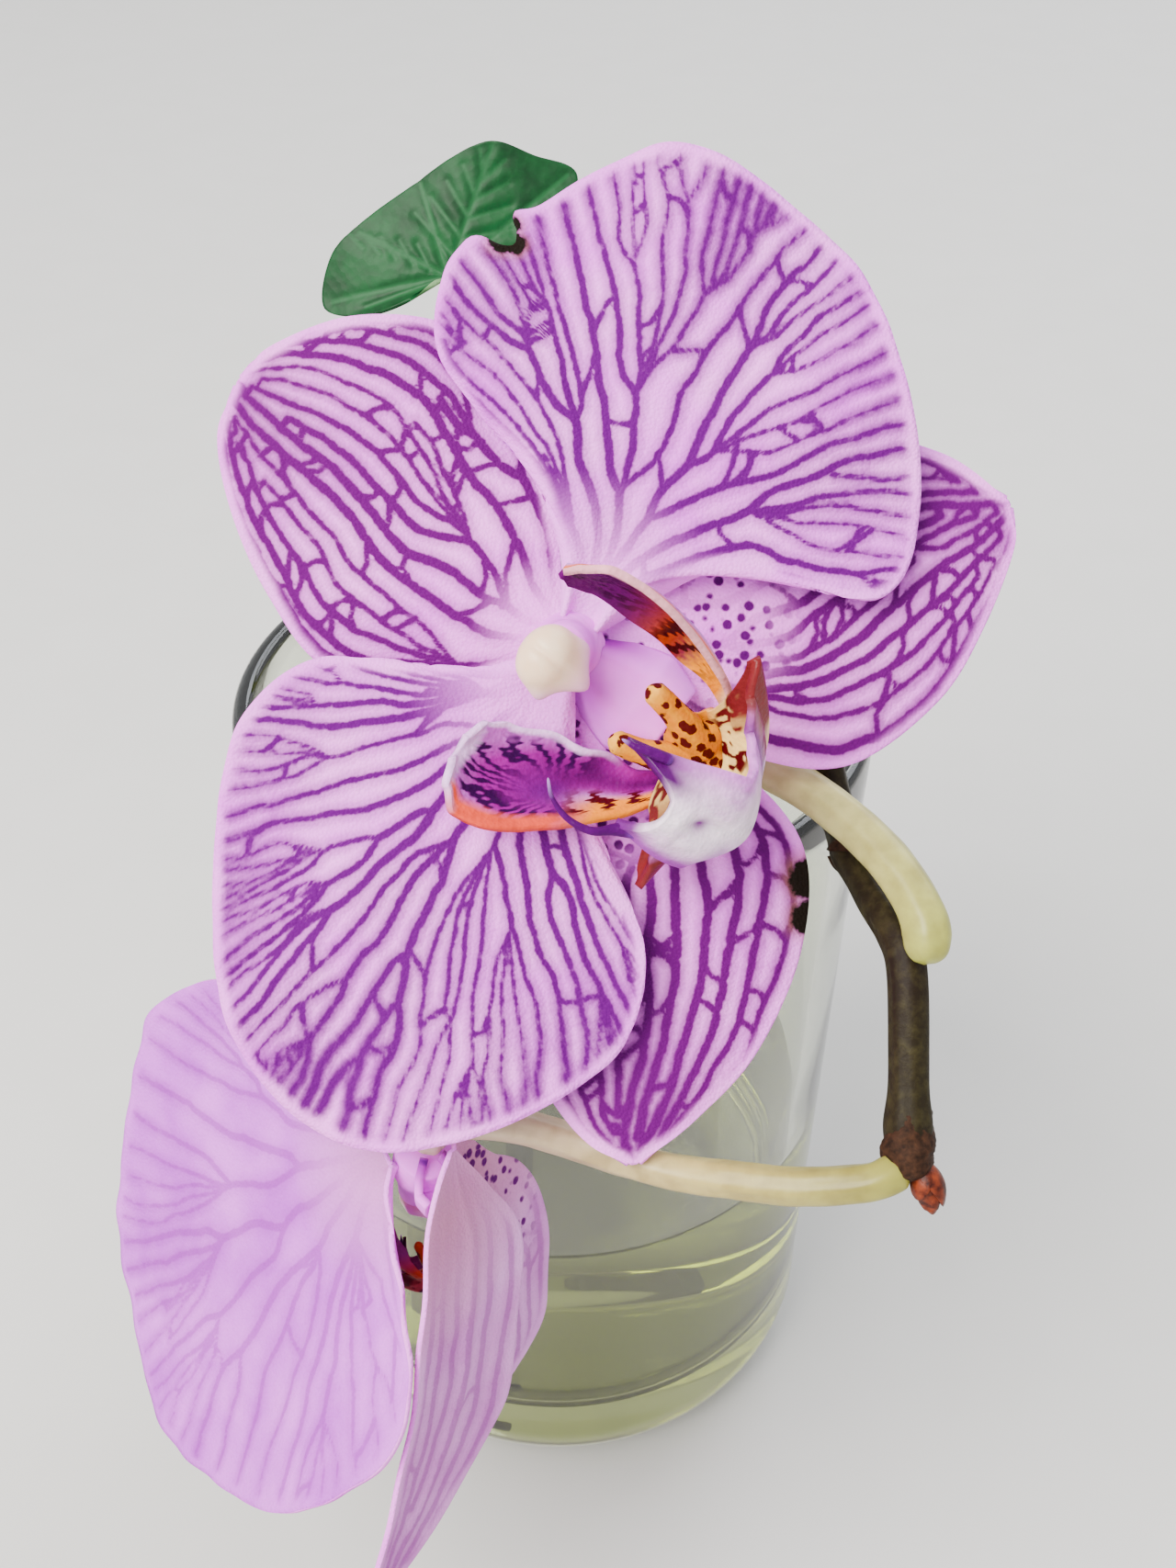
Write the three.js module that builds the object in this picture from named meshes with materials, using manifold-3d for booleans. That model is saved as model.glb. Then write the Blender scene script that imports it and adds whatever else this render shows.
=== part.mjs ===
// A cut spray of moth orchid in a clear tumbler of water, with one green leaf.
// Units are millimetres and +Z is up. The origin is the middle of the tumbler's base, on the table.
// The spray leans on the front rim (-Y), arches over, and carries two open flowers and a tip bud.
import * as THREE from 'three';
import Module from 'manifold-3d';
import { mergeVertices } from 'three/addons/utils/BufferGeometryUtils.js';

const wasm = await Module();
wasm.setup();

// ---- Driving dimensions ----

const GAP = 0.35; // left between two pieces that touch
const TUMBLER = { height: 108, rim: 37, shoulder: 34, heel: 11, wall: 2.4, foot: 11, sides: 36 };
const WATER_LEVEL = 48;
const BLADE = 0.9; // thickness of every petal, sepal and lip blade
const LEAF_THICKNESS = 0.8;
const HUB_RADIUS = 3.3;
const PETAL_HEIGHT = 0.95; // how far the petals stand in front of the flower's plane
const SEPAL_HEIGHT = -1.3;

const COLOURS = {
  glass: '#dfe6d8', water: '#cdd3b4', stem: '#3a2f1d', bud: '#7a3a2c', stalk: '#c9c27e', petal: '#c79be0',
  sepal: '#c08fdb', lip: '#b24a6e', column: '#d9b6dc', cap: '#efe3c8', leaf: '#2a6b3c',
  leafStalk: '#b9bd8a',
};

// ---- Shapes ----

const vector = (p) => new THREE.Vector3(p[0], p[1], p[2] ?? 0);

function curveThrough(points) {
  return new THREE.CatmullRomCurve3(points.map(vector), false, 'catmullrom', 0.5);
}

// Straight-line reading of a list of [position, value] stations.
function stations(list) {
  return (t) => {
    const next = Math.max(1, list.findIndex(([at]) => at >= t));
    const [[t0, v0], [t1, v1]] = [list[next - 1], list[next]];
    return v0 + (v1 - v0) * THREE.MathUtils.clamp((t - t0) / (t1 - t0), 0, 1);
  };
}

// A thin closed blade: surface(u, v) is its middle, and both faces are split into triangles alike.
function blade(surface, rows, columns, thickness) {
  const step = 1e-3;
  const front = [];
  const back = [];
  for (let i = 0; i <= rows; i += 1) {
    for (let j = 0; j <= columns; j += 1) {
      const [u, v] = [i / rows, j / columns];
      const [u0, u1] = [Math.max(0, u - step), Math.min(1, u + step)];
      const [v0, v1] = [Math.max(0, v - step), Math.min(1, v + step)];
      const along = surface(u1, v).sub(surface(u0, v));
      const across = surface(u, v1).sub(surface(u, v0));
      const offset = along.cross(across).setLength(thickness / 2);
      const middle = surface(u, v);
      front.push(middle.clone().add(offset));
      back.push(middle.clone().sub(offset));
    }
  }
  const width = columns + 1;
  const shift = front.length;
  const index = [];
  const quad = (a, b, c, d) => index.push(a, b, c, a, c, d);
  for (let i = 0; i < rows; i += 1) {
    for (let j = 0; j < columns; j += 1) {
      const corner = [i * width + j, (i + 1) * width + j, (i + 1) * width + j + 1, i * width + j + 1];
      quad(...corner);
      const [a, b, c, d] = corner.map((k) => k + shift);
      index.push(a, c, b, a, d, c);
    }
  }
  const rim = [];
  for (let i = 0; i < rows; i += 1) rim.push(i * width);
  for (let j = 0; j < columns; j += 1) rim.push(rows * width + j);
  for (let i = rows; i > 0; i -= 1) rim.push(i * width + columns);
  for (let j = columns; j > 0; j -= 1) rim.push(j);
  rim.forEach((a, k) => {
    const b = rim[(k + 1) % rim.length];
    quad(a, a + shift, b + shift, b);
  });
  const geometry = new THREE.BufferGeometry().setFromPoints([...front, ...back]);
  geometry.setIndex(index);
  return geometry;
}

// A round stalk along a path, as thick as radiusAt says from its start (0) to its end (1).
function stalk(points, radiusAt, steps, sides = 10) {
  const curve = curveThrough(points);
  const frames = curve.computeFrenetFrames(steps, false);
  const geometry = new THREE.CylinderGeometry(1, 1, 1, sides, steps);
  const place = geometry.attributes.position;
  for (let k = 0; k < place.count; k += 1) {
    const t = 0.5 - place.getY(k);
    const frame = Math.round(t * steps);
    const radius = radiusAt(t);
    const point = curve.getPointAt(t);
    point.addScaledVector(frames.normals[frame], place.getX(k) * radius);
    point.addScaledVector(frames.binormals[frame], place.getZ(k) * radius);
    place.setXYZ(k, point.x, point.y, point.z);
  }
  return geometry;
}

function turned(profile, sides) {
  return new THREE.LatheGeometry(profile.map(([r, z]) => new THREE.Vector2(r, z)), sides).rotateX(Math.PI / 2);
}

function arc(centre, radius, from, to, count) {
  return Array.from({ length: count + 1 }, (_, k) => {
    const angle = THREE.MathUtils.degToRad(from + ((to - from) * k) / count);
    return [centre[0] + radius * Math.cos(angle), centre[1] + radius * Math.sin(angle)];
  });
}

function solid(geometry) {
  const bare = new THREE.BufferGeometry();
  bare.setAttribute('position', geometry.attributes.position);
  bare.setIndex(geometry.index);
  const merged = mergeVertices(bare, 1e-4);
  const corners = merged.index.array;
  const kept = [];
  for (let k = 0; k < corners.length; k += 3) {
    const [a, b, c] = corners.slice(k, k + 3);
    if (a !== b && b !== c && c !== a) kept.push(a, b, c);
  }
  const vertProperties = new Float32Array(merged.attributes.position.array);
  return new wasm.Manifold(new wasm.Mesh({ numProp: 3, vertProperties, triVerts: new Uint32Array(kept) }));
}

function geometryOf(body) {
  const mesh = body.getMesh();
  const geometry = new THREE.BufferGeometry();
  geometry.setAttribute('position', new THREE.BufferAttribute(mesh.vertProperties, 3));
  geometry.setIndex([...mesh.triVerts]);
  return geometry;
}

// The one body that matters of a result that may carry slivers.
function largest(body) {
  return body.decompose().reduce((best, other) => (other.volume() > best.volume() ? other : best));
}

const join = (...parts) => geometryOf(largest(parts.map(solid).reduce((sum, part) => sum.add(part))));

function cut(body, ...tools) {
  return geometryOf(largest(tools.map(solid).reduce((rest, tool) => rest.subtract(tool), solid(body))));
}

// The same path, carried on straight at both ends.
function lengthened(points, by) {
  const onward = (end, before) => {
    const direction = vector(end).sub(vector(before)).setLength(by);
    return vector(end).add(direction).toArray();
  };
  return [onward(points[0], points[1]), ...points.slice(1, -1), onward(points.at(-1), points.at(-2))];
}

// The geometry as it stands once the object holding it has been turned and moved.
function placed(geometry, object) {
  object.updateWorldMatrix(true, false);
  return geometry.clone().applyMatrix4(object.matrixWorld);
}

function piece(name, geometry, colour, roughness = 0.6, metalness = 0) {
  geometry.computeVertexNormals();
  const mesh = new THREE.Mesh(geometry, new THREE.MeshStandardMaterial({ color: colour, roughness, metalness }));
  mesh.name = name;
  return mesh;
}

// ---- Tumbler and water ----

const wallSlope = (TUMBLER.rim - TUMBLER.shoulder) / (TUMBLER.height - TUMBLER.heel);
const outerRadius = (z) => TUMBLER.shoulder + wallSlope * (z - TUMBLER.heel);
const innerHeel = TUMBLER.heel - 2;
const innerRadius = (z) => outerRadius(z) - TUMBLER.wall - 0.6 * (1 - z / TUMBLER.height);

function tumbler() {
  const lip = TUMBLER.wall / 2;
  const rimCentre = [outerRadius(TUMBLER.height - lip) - lip, TUMBLER.height - lip];
  const elbow = TUMBLER.foot + innerHeel;
  return turned([
    [0, 0],
    ...arc([TUMBLER.shoulder - TUMBLER.heel, TUMBLER.heel], TUMBLER.heel, -90, 0, 5),
    ...arc(rimCentre, lip, 0, 180, 4),
    ...arc([innerRadius(elbow) - innerHeel, elbow], innerHeel, 0, -90, 4),
    [0, TUMBLER.foot],
  ], TUMBLER.sides);
}

function water() {
  const heel = innerHeel - GAP;
  const elbow = TUMBLER.foot + innerHeel;
  return turned([
    [0, TUMBLER.foot + GAP],
    ...arc([innerRadius(elbow) - innerHeel, elbow], heel, -90, 0, 4),
    [innerRadius(WATER_LEVEL) - GAP, WATER_LEVEL],
    [0, WATER_LEVEL],
  ], TUMBLER.sides);
}

// ---- Flower stem, its stalks and the tip bud ----

const SPIKE_RADIUS = 1.85;
const SPIKE_PATH = [
  [-6, 0, 12.2], [-4.6, -16, 60], [-3, -31, 104], [-1, -31, 121], [4, -24.5, 136.5], [12, -18.5, 144.5],
  [20, -19.5, 141], [25.8, -25.5, 131.5], [27.2, -32, 120.5], [29, -38, 117], [30.6, -44.3, 115.7],
  [32.2, -49.2, 115.2], [33, -52.5, 113.6], [33, -58, 108], [32.8, -63.6, 101.8],
];
const NODES_AT = [0.33, 0.58, 0.862, 0.99]; // the knuckles along the stem
const BUD_PATH = [[33.6, -64.6, 100.9], [34.5, -65.8, 99.6], [35, -67.4, 97.4]];
const FRONT_STALK_PATH = [
  [33.9, -54.6, 116.2], [34.1, -52.4, 118.9], [32.6, -48.5, 120.6], [30.1, -44.2, 121.7], [26.7, -39.8, 122.4],
  [23.3, -36.3, 122.8], [18, -32.4, 123.7], [12.8, -29.4, 125.6], [7.4, -27.6, 128.9], [3.7, -29.2, 133.1],
  [2.2, -32, 134.6],
];
const HANGING_STALK_PATH = [
  [32.4, -64.6, 100.6], [29.9, -65.8, 100.2], [26.7, -65.5, 99.2], [22.3, -64.6, 98], [17.5, -62.9, 96.8],
  [12.5, -60.9, 95.4], [7.4, -58.8, 94.9], [2.1, -57.1, 95.6], [-3, -56.8, 97.4], [-7.6, -57.9, 99.1],
  [-10.3, -59, 99.2], [-11, -59.1, 97.8],
];

function spikeRadius(t) {
  const swelling = NODES_AT.map((at) => 0.4 * Math.exp(-(((t - at) / 0.008) ** 2)));
  return SPIKE_RADIUS + swelling.reduce((sum, s) => sum + s, 0);
}

const spike = () => stalk(SPIKE_PATH, spikeRadius, 68, 9);
const spikeTool = (by) => stalk(lengthened(SPIKE_PATH, by), (t) => spikeRadius(t) + GAP, 68, 9);
const budRadius = (t) => 0.35 + 0.95 * Math.sin(Math.PI * (0.18 + 0.74 * t));
const bud = (clearance = 0) => stalk(BUD_PATH, (t) => budRadius(t) + clearance, 8, 8);
const frontStalkRadius = stations([[0, 1.9], [0.06, 2.2], [0.5, 2.1], [1, 1.9]]);
const hangingStalkRadius = stations([[0, 1.8], [0.5, 1.75], [1, 1.6]]);

// ---- Leaf ----

const LEAF_JOINT = [-13.1, 38.8, 141.6];
const LEAF_STALK_PATH = [
  [-13, -6, 13], [-10.6, 11.5, 60], [-10, 30.2, 104.5], [-12.2, 35.8, 125], [-12.9, 38.12, 137.4],
];
const LEAF_STALK_RADIUS = 1.1;
// The outline, from the notch at the stalk round over the lobes and back to it.
const LEAF_MARGIN = [
  [-1, 1.2], [-5, 3.8], [-8, 8], [-8.8, 13.2], [-2.5, 14.4], [3.5, 11.4], [9, 7.6], [13.4, 4.2], [16.6, 0.6],
  [17, -4.5], [17.2, -9.8], [12, -11.2], [5, -13], [-2.5, -14.4], [-8.8, -13.2], [-8, -8], [-5, -3.8], [-1, -1.2],
];
const LEAF_TURN = { pitch: -8, azimuth: 68 };

// ---- Tepals: sepals and petals, each drawn in its own frame ----
// +X runs out along the tepal from the flower's middle, +Y across it, +Z to its face.
// A margin starts at the left of the claw and runs round the tip to the right of the claw.

const CLAW = 3.85;
const UPPER_PETAL = [
  [CLAW, 1.6], [7.5, 4], [13, 9.5], [16.5, 16.5], [20, 22], [26, 24], [31.5, 22.3], [35.5, 18.8], [39.5, 16],
  [45, 10.5], [46, 5], [44.8, -2], [42, -10], [36, -16.5], [28, -22.3], [20, -25], [15.2, -23.5],
  [13.6, -17], [11.5, -8.8], [CLAW, -1.6],
];
const LOWER_PETAL = [
  [CLAW, 1.6], [10, 7], [15, 13.5], [20, 20], [27, 22.7], [33, 21.5], [41, 16.5], [47.5, 9.5], [49.3, 3],
  [48, -3.5], [44, -10], [36, -16], [27, -20.5], [20, -22], [13.5, -19.8], [10.5, -15], [7.5, -7], [CLAW, -1.6],
];
const DORSAL_SEPAL = {
  left: [[CLAW, 2], [8.3, 11], [16.5, 15.4], [24.8, 13.6], [32, 10], [37.8, 5.2], [39.6, 0.4]],
  right: [[CLAW, -2], [6.2, -6.2], [12.4, -11.6], [20.7, -15.8], [28, -16.3], [35.2, -11.4], [39.3, -4.6], [39.7, -0.6]],
};
const UPPER_LATERAL = {
  left: [[CLAW, 2], [8.3, 5], [16, 7.2], [24.3, 9.2], [32, 9.8], [38.7, 6], [43, 0.3]],
  right: [[CLAW, -2], [8.2, -9.9], [14.3, -15.8], [21.5, -18.4], [30.8, -15.5], [37, -10.4], [42.2, -4.2], [43.1, -0.8]],
};
const LOWER_LATERAL = {
  left: [[CLAW, 2], [7.6, 7.8], [14.2, 15.5], [21.4, 19.3], [30.6, 17.7], [39.2, 12.5], [44.6, 6.2], [48, 0.7]],
  right: [[CLAW, -2], [8, -3.2], [15, -6.5], [25, -9], [34, -9], [40.5, -7], [45.4, -4], [48, -0.5]],
};
const HANGING_PETAL = [
  [CLAW, 1.6], [4.4, 9], [7.5, 17], [13, 23], [19.8, 25.2], [26.8, 25.4], [32, 22], [40.4, 14.7], [47.4, 9],
  [49.4, 2], [48.6, -6.5], [46, -12.6], [40, -18.2], [33, -22.8], [26.5, -25.7], [19.9, -27], [12.8, -26.7],
  [8.6, -25], [5.9, -21], [4.4, -15], [3.5, -9], [3.1, -4.6], [3.2, -1.6],
];
const NEAR_SEPAL = {
  left: [[-2.6, 0.6], [-1, 2.3], [4, 2.7], [12.2, 2], [18.2, 1.6], [24.8, 1.9], [32.9, 3.2], [36.6, 3.2]],
  right: [
    [-2.8, 0], [-0.3, -6.4], [4.2, -12.6], [11, -14.6], [20.2, -15], [24.3, -13], [28.7, -9.1], [35, -1.5], [36.9, 1.6],
  ],
};
const FAR_SEPAL = {
  left: [[0.3, 2.5], [6, 6], [14, 7.5], [22, 7.5], [27, 6], [28.9, 4]],
  right: [[0.5, 1], [4.2, -2.2], [7.8, -5.2], [14.3, -7.3], [20.9, -6.1], [26.5, -3.7], [28.6, 0.5], [28.9, 3]],
};

// Rays leave the claw side by side and bend out to the margin, as a petal's veins do.
function fan(margin, straightness) {
  const curve = curveThrough(margin);
  return (ray, v) => {
    const end = curve.getPointAt(v);
    const start = curve.getPointAt(0).lerp(curve.getPointAt(1), v);
    const bend = new THREE.Vector3(start.x + straightness * start.distanceTo(end), start.y, 0);
    return new THREE.QuadraticBezierCurve3(start, bend, end).getPoint(ray);
  };
}

// Lines run from the claw to the tip between the two margins, as a sepal's veins do.
function lens({ left, right }) {
  const [leftCurve, rightCurve] = [curveThrough(left), curveThrough(right)];
  return (t, v) => leftCurve.getPointAt(t).lerp(rightCurve.getPointAt(t), v);
}

// Wraps a blade forward round a line along +X at the given height, and lays it at its own height.
function wrapped(point, radius) {
  if (!radius) return point;
  const angle = point.y / radius;
  return new THREE.Vector3(
    point.x,
    (radius - point.z) * Math.sin(angle),
    radius - (radius - point.z) * Math.cos(angle),
  );
}

// A margin drawn in towards the midline, for a tepal that has furled.
const furled = (points, width) => points.map(([x, y]) => [x, y * width]);

function petal(margin, { bulge = 1.6, wave = 0.7, phase = 0, wrap = 0, curl = 0, straightness = 0.3 } = {}) {
  const outline = fan(margin, straightness);
  return blade((ray, v) => {
    const point = outline(ray, v);
    const ripple = wave * ray ** 3 * Math.sin(10 * Math.PI * v + phase);
    point.z = PETAL_HEIGHT + bulge * Math.sin(Math.PI * ray ** 0.8) + ripple + curl * (point.x / 40) ** 2;
    return wrapped(point, wrap);
  }, 9, 16, BLADE);
}

function sepal(margins, { height = SEPAL_HEIGHT, droop = 2.4, camber = 1.3, wrap = 0 } = {}) {
  const outline = lens(margins);
  return blade((t, v) => {
    const point = outline(t, v);
    const side = 2 * v - 1;
    point.z = height - droop * t * t - camber * side * side * Math.sin(Math.PI * t);
    return wrapped(point, wrap);
  }, 9, 10, BLADE);
}

// ---- Column and lip: the middle of a flower ----
// The lip's own frame has +X out from the column, +Z to the front, and the flower's middle plane at Y = 0.

const COLUMN_PATH = [[0, 0, -2.4], [0, 0, 0], [-0.2, -0.2, 3], [-0.8, -0.8, 7.4]];
const columnRadius = stations([[0, 2.1], [0.1, HUB_RADIUS], [0.38, HUB_RADIUS], [0.55, 2.5], [1, 2.2]]);
const CAP = { centre: [-1.9, -1.4, 9.3], size: [2.6, 3.4, 2.3], beak: 2.2 };
const FOOT_ROWS = [[2.2, 2.2, 1.6], [5, 4, 2.2], [8, 5, 2.4], [11.4, 4.2, 1.8]]; // along, half width, height

const SIDE_LOBE = {
  spine: [[15, 4.6, 0.4], [12.5, 7.1, 2.1], [8.5, 9.4, 4], [4, 10.8, 6.6], [0.6, 11, 8.2], [-2, 10.4, 9.4]],
  across: [0.1, 0.63, 0.77],
  half: [[0, 1.6], [0.2, 2.4], [0.45, 4.6], [0.7, 5.6], [0.9, 4.4], [1, 2.2]],
  cup: 1.6,
};
const MIDLOBE = {
  spine: [[12.6, 0, 0.6], [15.5, 0, 0.8], [19, 0, 3.2], [21.4, 0, 8], [20.6, 0, 12.6], [17.4, 0, 15.6], [14.4, 0, 16.4]],
  half: [[0, 2.6], [0.15, 4], [0.32, 10.6], [0.42, 10], [0.6, 7], [0.85, 4.6], [1, 3]],
  sweep: 4.2,
};
const CALLUS_PRONG = [[15.6, 0.8, 2], [11.5, 2.1, 3], [7.6, 3, 4]];
const CIRRHUS = [[15, 2.6, 16.3], [12.4, 2.4, 16.8], [9.6, 3.4, 16], [6.6, 3.8, 15.2]];

function column(size, girth) {
  const foot = blade((u, v) => {
    const across = 2 * v - 1;
    const half = stations(FOOT_ROWS.map(([, width], k) => [k / 3, width * size]))(u);
    const height = stations(FOOT_ROWS.map(([, , z], k) => [k / 3, z]))(u);
    const along = THREE.MathUtils.lerp(FOOT_ROWS[0][0], FOOT_ROWS[3][0] * size, u);
    return new THREE.Vector3(along, across * half, height + 0.8 * across * across);
  }, 5, 6, BLADE);
  foot.rotateZ(THREE.MathUtils.degToRad(LIP_AZIMUTH));
  return join(stalk(COLUMN_PATH, (t) => columnRadius(t) * girth, 10, 12), foot);
}

function antherCap(girth) {
  const geometry = new THREE.SphereGeometry(1, 12, 8);
  const place = geometry.attributes.position;
  const forward = new THREE.Vector3(0.96, 0, -0.28);
  for (let k = 0; k < place.count; k += 1) {
    const point = new THREE.Vector3().fromBufferAttribute(place, k);
    const pull = Math.max(0, point.dot(forward)) ** 7 * CAP.beak;
    point.multiply(vector(CAP.size));
    point.addScaledVector(forward, pull);
    place.setXYZ(k, point.x, point.y, Math.max(point.z, -1.45));
  }
  geometry.scale(girth, girth, girth).rotateZ(THREE.MathUtils.degToRad(LIP_AZIMUTH));
  return geometry.translate(...CAP.centre);
}

function sideLobe(side, thickness) {
  const spine = curveThrough(SIDE_LOBE.spine);
  const half = stations(SIDE_LOBE.half);
  const across = vector(SIDE_LOBE.across);
  const outward = new THREE.Vector3(0, 0.77, -0.63);
  return blade((u, v) => {
    const w = side * (2 * v - 1);
    const point = spine.getPointAt(u).addScaledVector(across, w * half(u));
    point.addScaledVector(outward, -SIDE_LOBE.cup * w * w * Math.sin(Math.PI * Math.min(u, 0.85)));
    point.y *= side;
    return point;
  }, 8, 4, thickness);
}

function midlobe(thickness) {
  const spine = curveThrough(MIDLOBE.spine);
  const half = stations(MIDLOBE.half);
  return blade((u, v) => {
    const w = 2 * v - 1;
    const point = spine.getPointAt(u);
    point.y = w * half(u);
    point.x -= MIDLOBE.sweep * w * w * Math.sin(Math.PI * Math.min(1, 1.4 * u));
    point.z += 1.4 * w * w * Math.sin(Math.PI * u);
    return point;
  }, 12, 6, thickness);
}

function lip(thickness) {
  const mirror = (points, side) => points.map(([x, y, z]) => [x, side * y, z]);
  const callus = new THREE.SphereGeometry(1, 8, 6).scale(3, 3.4, 2).translate(14.4, 0, 1.7);
  const prong = (side) => stalk(mirror(CALLUS_PRONG, side), stations([[0, 1.7], [0.7, 1.5], [1, 0.8]]), 4, 6);
  const cirrhus = (side) => stalk(mirror(CIRRHUS, side), stations([[0, 0.8], [0.6, 0.5], [1, 0.4]]), 6, 5);
  const lobes = [midlobe(thickness), sideLobe(1, thickness), sideLobe(-1, thickness)];
  return join(...lobes, callus, prong(1), prong(-1), cirrhus(1), cirrhus(-1));
}

// ---- Flowers ----
// A flower's frame has its face along +Z. Angles run round that axis, from +X towards +Y.

const LIP_AZIMUTH = -37.5;
const LIP_HEIGHT = 3.5;

// The front flower looks up and out; the hanging one nods towards the table, half closed.
const FRONT_FLOWER = { middle: [2.2, -34.8, 136.9], face: [0, -0.788, 0.616], right: [1, 0, 0] };
const HANGING_FLOWER = { middle: [-11.8, -58.6, 94.6], face: [-0.25, 0.2, -0.95], right: [1, 0, 0] };

const FRONT_TEPALS = {
  dorsal_sepal: { angle: 141, shape: () => sepal(DORSAL_SEPAL) },
  petal_a: { angle: 66, shape: () => petal(UPPER_PETAL, { straightness: 0.42 }) },
  petal_b: { angle: 239, shape: () => petal(LOWER_PETAL, { bulge: 1.1, wave: 0.5, phase: 2 }) },
  lateral_sepal_a: { angle: 19, shape: () => sepal(UPPER_LATERAL) },
  lateral_sepal_b: { angle: 277, shape: () => sepal(LOWER_LATERAL) },
};
const FURLED_SEPAL = { left: furled(DORSAL_SEPAL.left, 0.45), right: furled(DORSAL_SEPAL.right, 0.45) };
const FURLED_PETAL = {
  left: [[CLAW, 1.6], [10, 3.6], [18, 5.2], [27, 5], [33, 3], [36, 0.4]],
  right: [[CLAW, -1.6], [10, -3.2], [18, -4.8], [27, -4.8], [33, -3], [36, -0.6]],
};
// A tepal that is pitched forward hinges at its claw, which stands `out` from the rim of the hub
// at the angle `at`, where that differs from the way the tepal points.
const HANGING_TEPALS = {
  dorsal_sepal: { angle: 245, pitch: 62, out: -0.9, shape: () => sepal(FURLED_SEPAL, { droop: 0, wrap: 12 }) },
  petal_a: {
    angle: 173, pitch: 58, roll: -19, out: 1.9,
    shape: () => petal(HANGING_PETAL, { bulge: 0.8, wave: 0.5, wrap: -111, curl: 4.2 }),
  },
  petal_b: {
    angle: 312, pitch: 66, out: 1.9,
    shape: () => sepal(FURLED_PETAL, { height: 1.2, droop: 0, camber: 0.4, wrap: 12 }),
  },
  lateral_sepal_a: {
    angle: 88, pitch: 41, roll: -48, out: 3.4,
    shape: () => sepal(NEAR_SEPAL, { height: -2.4, droop: 0, camber: 0.5 }),
  },
  lateral_sepal_b: {
    angle: 39, pitch: 59, roll: -9, at: -2, out: 1.6,
    shape: () => sepal(FAR_SEPAL, { height: 0, droop: 0, camber: 0.4 }),
  },
};
const FRONT_LIP = { lean: 25.5, swing: 0, size: 1, reach: 0, girth: 1 };
const HANGING_LIP = { lean: 0, swing: 40, size: 0.42, reach: 3.5, girth: 0.84 };

const degrees = THREE.MathUtils.degToRad;

function flowerFrame({ middle, face, right }) {
  const normal = vector(face).normalize();
  const side = vector(right);
  side.addScaledVector(normal, -side.dot(normal)).normalize();
  const frame = new THREE.Group();
  frame.quaternion.setFromRotationMatrix(new THREE.Matrix4().makeBasis(side, normal.clone().cross(side), normal));
  frame.position.copy(vector(middle));
  return frame;
}

function flower(prefix, place, tepals, { lean, swing, size, reach, girth }, turn = 0) {
  const frame = flowerFrame(place);
  for (const [name, { angle, pitch = 0, roll = 0, at = angle, out = 0, shape }] of Object.entries(tepals)) {
    const colour = name.startsWith('petal') ? COLOURS.petal : COLOURS.sepal;
    const tepal = piece(`${prefix}_${name}`, shape(), colour, 0.55);
    tepal.rotation.set(degrees(roll), degrees(-pitch), degrees(angle), 'ZYX');
    const hinge = new THREE.Vector3(CLAW + out, 0, 0).applyAxisAngle(new THREE.Vector3(0, 0, 1), degrees(at));
    tepal.position.copy(hinge).sub(new THREE.Vector3(CLAW, 0, 0).applyEuler(tepal.rotation));
    frame.add(tepal);
  }
  const middle = new THREE.Group();
  middle.rotation.z = degrees(turn);
  middle.add(piece(`${prefix}_column`, column(size, girth), COLOURS.column, 0.5));
  middle.add(piece(`${prefix}_anther_cap`, antherCap(girth), COLOURS.cap, 0.4));
  const lipPiece = piece(`${prefix}_lip`, lip(BLADE / size), COLOURS.lip, 0.45);
  lipPiece.rotation.set(degrees(lean), degrees(-swing), degrees(LIP_AZIMUTH), 'ZYX');
  lipPiece.scale.setScalar(size);
  lipPiece.position.set(reach, 0, LIP_HEIGHT).applyAxisAngle(new THREE.Vector3(0, 0, 1), degrees(LIP_AZIMUTH));
  middle.add(lipPiece);
  frame.add(middle);
  return frame;
}

function leafBlade(thickness) {
  const margin = curveThrough(LEAF_MARGIN);
  const sheet = blade((ray, v) => {
    const point = margin.getPointAt(v).multiplyScalar(THREE.MathUtils.lerp(0.06, 1, ray));
    point.z = -0.012 * point.y * point.y + 0.6 * ray * ray * Math.sin(10 * Math.PI * v);
    return point;
  }, 4, 24, thickness);
  const frame = flowerFrame({ middle: LEAF_JOINT, face: FRONT_FLOWER.face, right: [1, 0, 0] });
  const turn = new THREE.Object3D();
  turn.rotation.set(0, degrees(LEAF_TURN.pitch), degrees(LEAF_TURN.azimuth), 'ZYX');
  frame.add(turn);
  return placed(sheet, turn);
}

function leafStalk() {
  const whole = stalk(LEAF_STALK_PATH, () => LEAF_STALK_RADIUS, 14, 7);
  return cut(whole, leafBlade(LEAF_THICKNESS + 2 * GAP));
}

// ---- The whole part ----

const part = new THREE.Group();
const leafStalkTool = stalk(lengthened(LEAF_STALK_PATH, 2.5), () => LEAF_STALK_RADIUS + GAP, 14, 7);
part.add(piece('glass_tumbler', tumbler(), COLOURS.glass, 0.05));
part.add(piece('water', cut(water(), spikeTool(2), leafStalkTool), COLOURS.water, 0.05));
part.add(piece('flower_spike', spike(), COLOURS.stem, 0.7));
part.add(piece('tip_bud', cut(bud(), spikeTool(GAP)), COLOURS.bud, 0.5));
part.add(piece(
  'front_flower_stalk',
  cut(stalk(FRONT_STALK_PATH, frontStalkRadius, 20, 9), spikeTool(GAP)),
  COLOURS.stalk,
));
part.add(piece(
  'hanging_flower_stalk',
  cut(stalk(HANGING_STALK_PATH, hangingStalkRadius, 22, 9), spikeTool(GAP), bud(GAP)),
  COLOURS.stalk,
));
part.add(piece('leaf', leafBlade(LEAF_THICKNESS), COLOURS.leaf, 0.4));
part.add(piece('leaf_stalk', leafStalk(), COLOURS.leafStalk, 0.5));
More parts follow.
